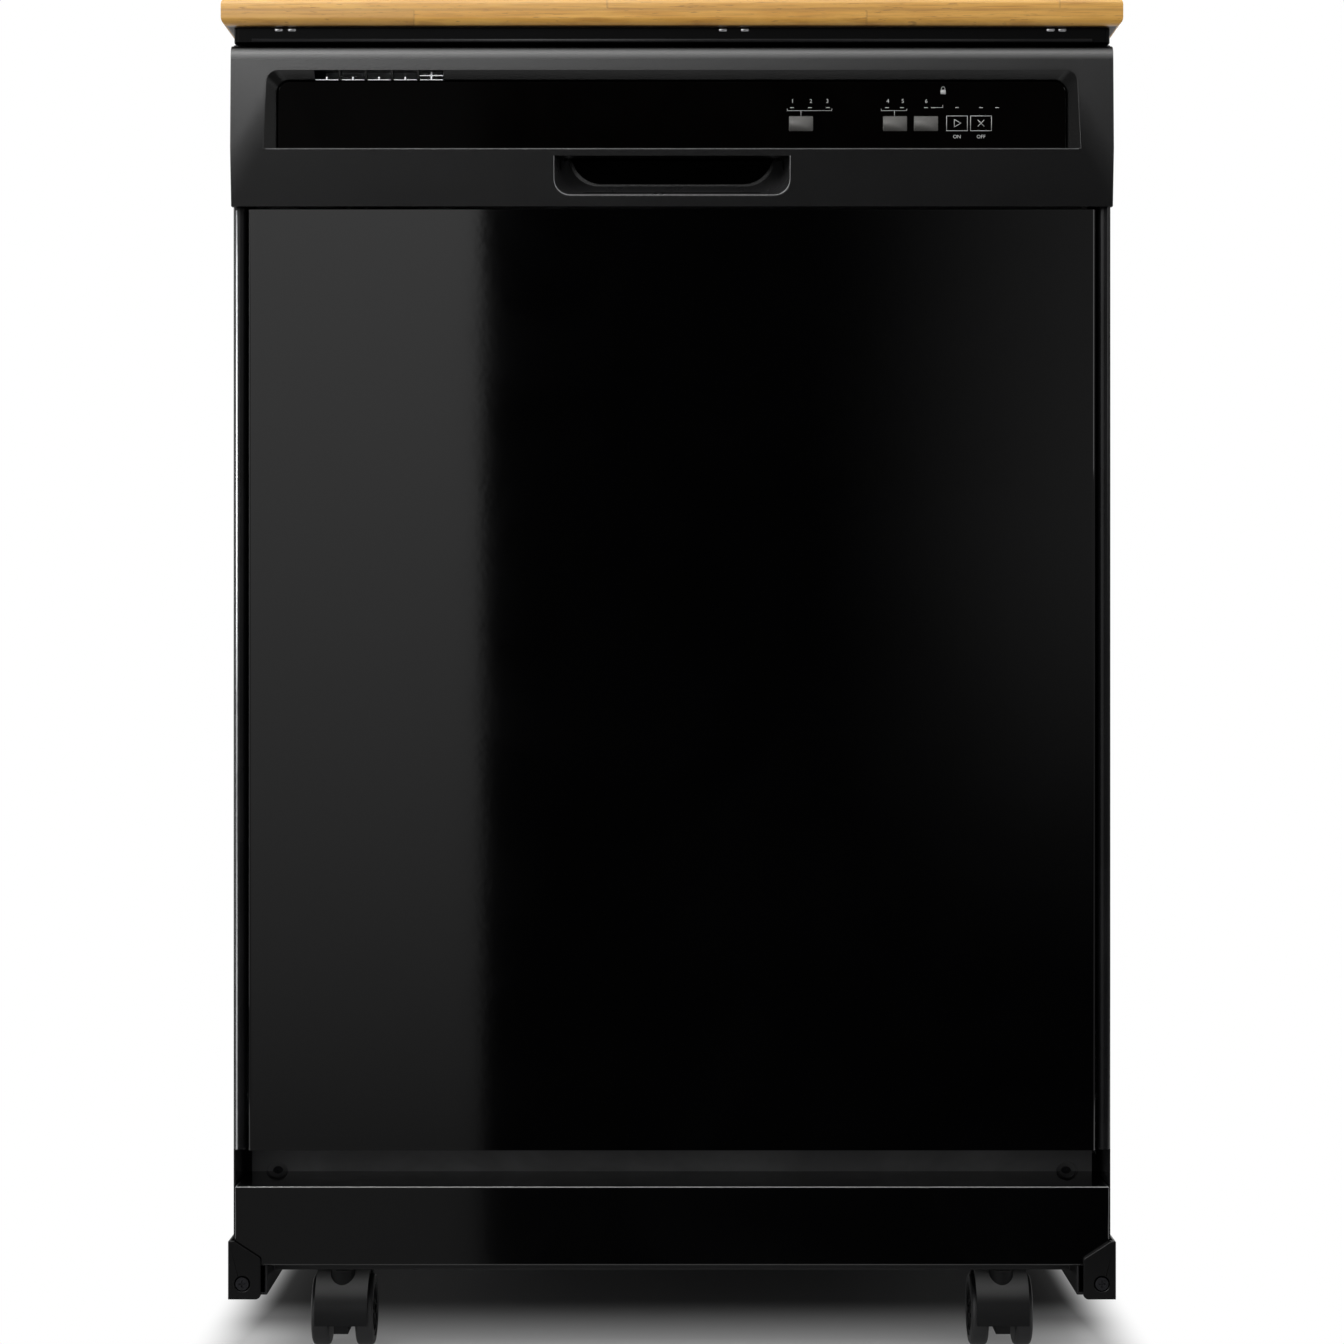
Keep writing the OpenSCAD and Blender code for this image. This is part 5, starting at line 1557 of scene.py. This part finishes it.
@dataclass
class Racks(SubAssembly):
    """Both dish racks as bent and coated wire, and the silverware basket.

    Args:
        wire: Radius of a coated wire.
        pitch: Spacing of the wires.
        bend: How far from a corner a bend starts.
    """

    wire: float = 0.0025
    pitch: float = 0.040
    bend: float = 0.012
    edges: dict[str, float] = field(default_factory=lambda: {
        "lower_rack_wheels_front": 0.0008, "lower_rack_wheels_rear": 0.0008})

    def build(self) -> None:
        """Builds the two racks and the basket."""
        self._upper()
        self._lower()
        self._basket()

    def _count(self, length: float) -> int:
        """Number of gaps nearest to the pitch over a length."""
        return max(2, round(length / self.pitch))

    def _row(self, half: float, share: float) -> float:
        """Middle of the tine row that stands halfway between two long wires.

        Args:
            half: Half the width of the rack.
            share: About how far across the rack the row stands.

        Returns:
            Its place along X.
        """
        run = 2 * (half - self.wire)
        count = self._count(run)
        return self.wire - half + run * (math.floor(share * count) + 0.5) / count

    def _cradle(self, mould: Mould, low: Vector, high: Vector, rims: Sequence[float]) -> None:
        """Crossed wires bent up at their ends, and the rims they are welded to.

        Args:
            mould: The mesh to add to.
            low: Lowest corner of the rack.
            high: Highest corner of the rack.
            rims: Heights of the rims' middles.
        """
        r = self.wire
        top = rims[-1]
        for along, other, floor in ((1, 0, low.z + r), (0, 1, low.z + 3 * r)):
            run = high[along] - low[along] - 2 * r
            count = self._count(run)
            for i in range(count + 1):
                at = low[along] + r + run * i / count
                near, far = low[other] + r, high[other] - r
                corners = [(a, at, z) if other == 0 else (at, a, z) for a, z in
                           ((near, top), (near, floor), (far, floor), (far, top))]
                mould.tube(bent(corners, self.bend), r, tip=r)
        for height in rims:
            outline = rounded((low.x + r, low.y + r), (high.x - r, high.y - r), self.bend)
            mould.tube([(x, y, height) for x, y in outline], r * 1.12, closed=True)

    def _tines(self, mould: Mould, x: float, span: tuple[float, float], inner: tuple[float, float],
               floor: float, height: float) -> None:
        """A row of upright tines on a wire of their own.

        Args:
            mould: The mesh to add to.
            x: Where the row stands.
            span: Ends of the wire that carries it.
            inner: Places of the first and last tine.
            floor: Height of that wire.
            height: How far a tine stands up.
        """
        mould.tube([(x, span[0], floor), (x, span[1], floor)], self.wire, tip=self.wire)
        count = self._count(inner[1] - inner[0])
        for j in range(count + 1):
            y = inner[0] + (inner[1] - inner[0]) * j / count
            mould.tube([(x, y, floor), (x, y, floor + height * 0.5), (x, y, floor + height)],
                       self.wire * 0.92, tip=self.wire)

    def _mat(self, half: float, floor: float, box: tuple[Vector, Vector], sizes: Sequence[float],
             shares: Sequence[float]) -> Mould:
        """The wires of one rack: its cradle and its rows of tines.

        Args:
            half: Half its width.
            floor: Height of its lowest wires.
            box: Corners of the rack's box.
            sizes: Rise of the lower rim, and the margins before and behind and height of the tines.
            shares: About how far across the rack each row of tines stands.

        Returns:
            The mesh.
        """
        (low, high), (rim, before, behind, tall) = box, sizes
        made = Mould()
        self._cradle(made, Vector((-half, low.y, floor)), Vector((half, high.y, high.z)),
                     (floor + rim, high.z - self.wire * 1.12))
        for share in shares:
            self._tines(made, self._row(half, share), (low.y, high.y),
                        (low.y + before, high.y - behind), floor + 3 * self.wire, tall)
        return made

    def _upper(self) -> None:
        """The upper rack with its tines and runners."""
        low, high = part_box("upper_rack")
        half, floor = 0.252, high.z - 0.113
        rack = self._mat(half, floor, (low, high), (0.054, 0.0425, 0.0375, 0.062), (0.3, 0.7))
        made = rack.piece("upper_rack_wires", self.shop[Slot.rack_nylon], "upper_rack_body")
        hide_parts("upper_rack")
        runners = Mould()
        web, flange = (half - 0.001, 0.2675, 0.6037, 0.6117), (0.2665, 0.274, 0.5982, 0.6157)
        for side in SIDES:
            for x0, x1, z0, z1 in (web, flange):
                ends = sorted((side * x0, side * x1))
                runners.block((ends[0], low.y, z0), (ends[1], high.y - 0.002, z1))
        made = runners.piece("upper_rack_runners", self.shop[Slot.grey_plastic], "upper_rack_body")
        self.shell.round(made, 0.001)

    def _lower(self) -> None:
        """The lower rack with its tines, hangers and axles."""
        low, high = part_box("lower_rack")
        half, floor = 0.245, high.z - 0.090
        rack = self._mat(half, floor, (low, high), (0.0395, 0.0325, 0.0275, 0.078),
                         (0.12, 0.29, 0.45, 0.62))
        made = rack.piece("lower_rack_wires", self.shop[Slot.rack_nylon], "lower_rack_body")
        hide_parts("lower_rack")
        hangers = Mould()
        for end in ("front", "rear"):
            wheel_low, wheel_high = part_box(f"lower_rack_wheels_{end}")
            y, z = (wheel_low.y + wheel_high.y) / 2, (wheel_low.z + wheel_high.z) / 2
            for side in SIDES:
                ends = sorted((side * half, side * (half + 0.003)))
                hangers.block((ends[0], y - 0.008, z - 0.006), (ends[1], y + 0.008, floor + 0.042))
                axle = [(side * (half + reach), y, z) for reach in (0.001, 0.015)]
                hangers.tube(axle, 0.003, 16)
        made = hangers.piece("lower_rack_hangers", self.shop[Slot.grey_plastic], "lower_rack_body")
        self.shell.round(made, 0.0006)

    def _basket(self) -> None:
        """The silverware basket as slotted walls, dividers, floor and handle."""
        low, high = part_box("silverware_basket")
        top = high.z - 0.032
        t, cells = 0.002, 5
        cell = (high.y - low.y - t) / cells
        basket = Mould()
        for i in range(cells + 1):
            self._wall(basket, "x", (low.x, high.x), low.y + i * cell, t, (low.z, top))
        for x in (low.x, high.x - t):
            self._wall(basket, "y", (low.y, high.y), x, t, (low.z, top))
        slat, gaps_x, gaps_y = 0.003, 8, 22
        for i in range(gaps_x + 1):
            x = low.x + i * (high.x - low.x - slat) / gaps_x
            basket.block((x, low.y, low.z), (x + slat, high.y, low.z + t))
        for i in range(gaps_y + 1):
            y = low.y + i * (high.y - low.y - slat) / gaps_y
            basket.block((low.x, y, low.z), (high.x, y + slat, low.z + t * 0.9))
        middle, post, bend = (low.x + high.x) / 2, 0.004, 0.018
        front, back = low.y + cell + t / 2, high.y - cell - t / 2
        corners = [(middle, front, top - bend), (middle, front, high.z - post),
                   (middle, back, high.z - post), (middle, back, top - bend)]
        basket.tube(bent(corners, bend, 5), post, 12, tip=0.001)
        made = basket.piece("silverware_basket_lattice", self.shop[Slot.dark_grey_plastic],
                            "lower_rack_body")
        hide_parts("silverware_basket")
        self.shell.round(made)

    @staticmethod
    def _wall(mould: Mould, axis: str, run: tuple[float, float], at: float, thick: float,
              rise: tuple[float, float]) -> None:
        """One slotted wall.

        Args:
            mould: The mesh to add to.
            axis: The axis it runs along, x or y.
            run: Its ends along that axis.
            at: Its place on the other axis.
            thick: Its thickness.
            rise: Its foot and its rim.
        """

        def bar(a0: float, a1: float, z0: float, z1: float, inset: float = 0.0) -> None:
            """One bar of the wall."""
            low = (a0, at + inset) if axis == "x" else (at + inset, a0)
            high = (a1, at + thick - inset) if axis == "x" else (at + thick - inset, a1)
            mould.block((*low, z0), (*high, z1))

        foot, rim = rise
        for share, tall in ((0.0, 0.006), (0.34, 0.003), (0.62, 0.003), (1.0, 0.010)):
            z0 = foot + share * (rim - foot - tall)
            bar(run[0], run[1], z0, z0 + tall)
        pitch, stave = 0.0085, 0.0026
        count = max(2, round((run[1] - run[0]) / pitch))
        for i in range(count + 1):
            a = run[0] + (run[1] - run[0] - stave) * i / count
            bar(a, a + stave, foot + 0.002, rim - 0.002, 0.0003)


# ------------------------------------------------------------------ studio


@dataclass(frozen=True)
class Lamp:
    """A soft box.

    Args:
        name: Its name.
        at: Where it stands.
        aim: What it points at.
        size: Its width and height.
        power: Its power in watts.
    """

    name: str
    at: Point
    aim: Point
    size: tuple[float, float]
    power: float

    def place(self) -> None:
        """Puts the lamp in the scene."""
        data = bpy.data.lights.new(self.name, "AREA")
        data.shape = "RECTANGLE"
        data.size, data.size_y = self.size
        data.energy = self.power
        made = stand(self.name, data)
        made.location = self.at
        towards = Vector(self.aim) - Vector(self.at)
        made.rotation_euler = towards.to_track_quat("-Z", "Y").to_euler()


@dataclass
class Studio:
    """Camera, soft boxes, surroundings and the pale floor.

    Args:
        distance: From the camera to the face of the door.
        eye: Height of the camera.
        middle: Height at the middle of the frame, on the face of the door.
        span: Height that the frame covers there.
        face: Where the face of the door lies.
    """

    distance: float = 2.1
    eye: float = 0.5
    middle: float = 0.4795
    span: float = 0.9255
    face: float = -0.322
    lamps: tuple[Lamp, ...] = (
        Lamp("key_soft_box", (-1.5, -2.1, 2.2), (0, -0.3, 0.7), (1.3, 1.0), 35.0),
        Lamp("top_soft_box", (0.0, 0.1, 2.5), (0, 0, 0.9), (2.0, 2.0), 26.0),
        Lamp("right_soft_box", (2.2, -1.4, 1.5), (0, 0, 0.5), (0.8, 1.6), 9.0),
        Lamp("left_strip", (-2.0, 0.3, 0.9), (0, 0, 0.5), (0.5, 1.8), 9.0),
        Lamp("back_soft_box", (0.6, 2.6, 1.6), (0, 0.3, 0.5), (1.6, 1.4), 20.0))

    def build(self) -> None:
        """Sets up everything round the object."""
        self._camera()
        for lamp in self.lamps:
            lamp.place()
        self._surroundings()
        self._floor()
        bpy.context.scene.view_settings.view_transform = "Standard"

    def _camera(self) -> None:
        """A level camera, so that upright edges stay upright."""
        data = bpy.data.cameras.new("camera")
        data.sensor_width = 36.0
        data.lens = data.sensor_width * self.distance / self.span
        data.shift_y = (self.middle - self.eye) / self.span
        made = stand("camera", data)
        made.location = (0.0, self.face - self.distance, self.eye)
        made.rotation_euler = (math.radians(90), 0.0, 0.0)
        bpy.context.scene.camera = made

    def _surroundings(self) -> None:
        """White all round for the eye, and a dark room with one soft box in front for the gloss."""
        world = bpy.data.worlds.new("studio")
        bpy.context.scene.world = world
        graph = cleared(world)
        x, y, z = graph.split(graph.node("ShaderNodeTexCoord").outputs["Generated"])
        ahead = graph.times(y, -1.0)
        depth = graph.most(ahead, 0.05)
        aside, above = (graph.math("DIVIDE", value, depth) for value in (x, z))
        box = graph.times(graph.span(aside, -0.0645, -0.0605, 1.0, 0.0),
                          graph.span(above, -0.17, 0.15, 0.2, 1.0, False))
        glow = graph.times(graph.span(aside, 0.04, 0.16, 0.0, 0.25), graph.span(above, -0.12, 0.06))
        canopy = graph.times(graph.span(above, 0.17, 0.3), graph.span(aside, -0.1, 0.12, 4.0, 0.0))
        crown = graph.times(graph.span(above, 0.45, 1.0), graph.span(aside, -0.5, 0.5, 5.0, 2.0))
        room = graph.most(box, graph.plus(glow, 0.003), canopy, crown)
        around = graph.span(z, 0.0, 0.6, 0.18, 1.0)
        gloss = graph.blend(graph.span(ahead, 0.3, 0.75), around, room)
        path = graph.node("ShaderNodeLightPath").outputs
        shiny = graph.most(path["Is Glossy Ray"], path["Is Transmission Ray"])
        level = graph.blend(shiny, graph.span(z, 0.0, 0.5, 0.15, 0.62), gloss)
        light = graph.node("ShaderNodeBackground")
        graph.fill(light, Color=opaque(grey(1.0)),
                   Strength=graph.blend(path["Is Camera Ray"], level, 1.0))
        graph.fill(graph.node("ShaderNodeOutputWorld"), Surface=light.outputs[0])

    def _floor(self) -> None:
        """A pale floor that keeps the object's shadow, has a painted shadow under it, and fades
        into the white behind it.
        """
        low, high = (-1.5, -0.62), (1.5, 1.6)
        bm = bmesh.new()
        corners = rounded(low, high, 0.28, 10)
        bm.faces.new([bm.verts.new((x, y, 0.0)) for x, y in corners])
        mesh = bpy.data.meshes.new("floor")
        bm.to_mesh(mesh)
        bm.free()
        made = stand("floor", mesh)
        mesh.materials.append(self._pale())

    def _pale(self) -> bpy.types.Material:
        """The floor's paint: a painted shadow under the object and along its sides, and plain white
        to the eye round it.
        """
        paint = bpy.data.materials.new("pale_floor")
        graph = cleared(paint)
        x, y, _ = graph.split(graph.place())
        out_x, out_y = (graph.minus(graph.math("ABSOLUTE", value), half)
                        for value, half in ((x, 0.30), (y, 0.32)))
        fade = graph.most(graph.span(graph.most(out_x, out_y), 0.0, 0.27),
                          graph.span(out_x, -0.005, 0.045), graph.span(y, -0.33, -0.10, 0.22, 0.0))
        pale = graph.mix(graph.noise(graph.place(), 3.0, 3.0), grey(0.84), grey(0.88))
        # Painted shadow: the floor's colour is darkened under the object's footprint, more towards
        # its sides and back.
        ends = graph.times(graph.span(y, -0.235, -0.16, 0.6, 0.16),
                           graph.span(y, -0.16, -0.10, 1.0, 0.3))
        within = graph.blend(graph.span(out_x, -0.16, -0.02),
                             graph.span(y, -0.23, -0.10, 1.0, 0.45), ends)
        under = graph.times(graph.span(y, 0.26, 0.34, 1.0, 0.0),
                            graph.span(out_x, 0.03, 0.06, 1.0, 0.0))
        flat = graph.node("ShaderNodeBsdfDiffuse")
        shade = graph.times(under, graph.minus(1.0, within))
        graph.fill(flat, Color=graph.mix(shade, pale, grey(0.0)))
        white = graph.node("ShaderNodeEmission")
        graph.fill(white, Color=opaque(grey(1.0)))
        path = graph.node("ShaderNodeLightPath").outputs
        seen = graph.most(*(path[f"Is {ray} Ray"] for ray in ("Camera", "Glossy", "Transmission")))
        joined = graph.node("ShaderNodeMixShader")
        for i, value in enumerate((graph.times(seen, fade), flat.outputs[0], white.outputs[0])):
            graph.feed(joined.inputs[i], value)
        graph.fill(graph.node("ShaderNodeOutputMaterial"), Surface=joined.outputs[0])
        return paint


# ------------------------------------------------------------------ the whole


def main() -> None:
    """Builds the studio and every sub-assembly in turn, and reports each piece."""
    logging.basicConfig(level=logging.INFO, format="%(name)s: %(message)s")
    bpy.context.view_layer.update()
    Studio().build()
    shop, shell = Shop(), Shell()
    parts: tuple[Callable[[Shop, Shell], SubAssembly], ...] = (
        Worktop, Cabinet, Casters, Tub, Door, PanelPrint, Racks)
    for make in parts:
        part = make(shop, shell)
        part.build()
        part.dress()
        LOG.info("%s done", type(part).__name__)


if __name__ == "__main__":
    main()
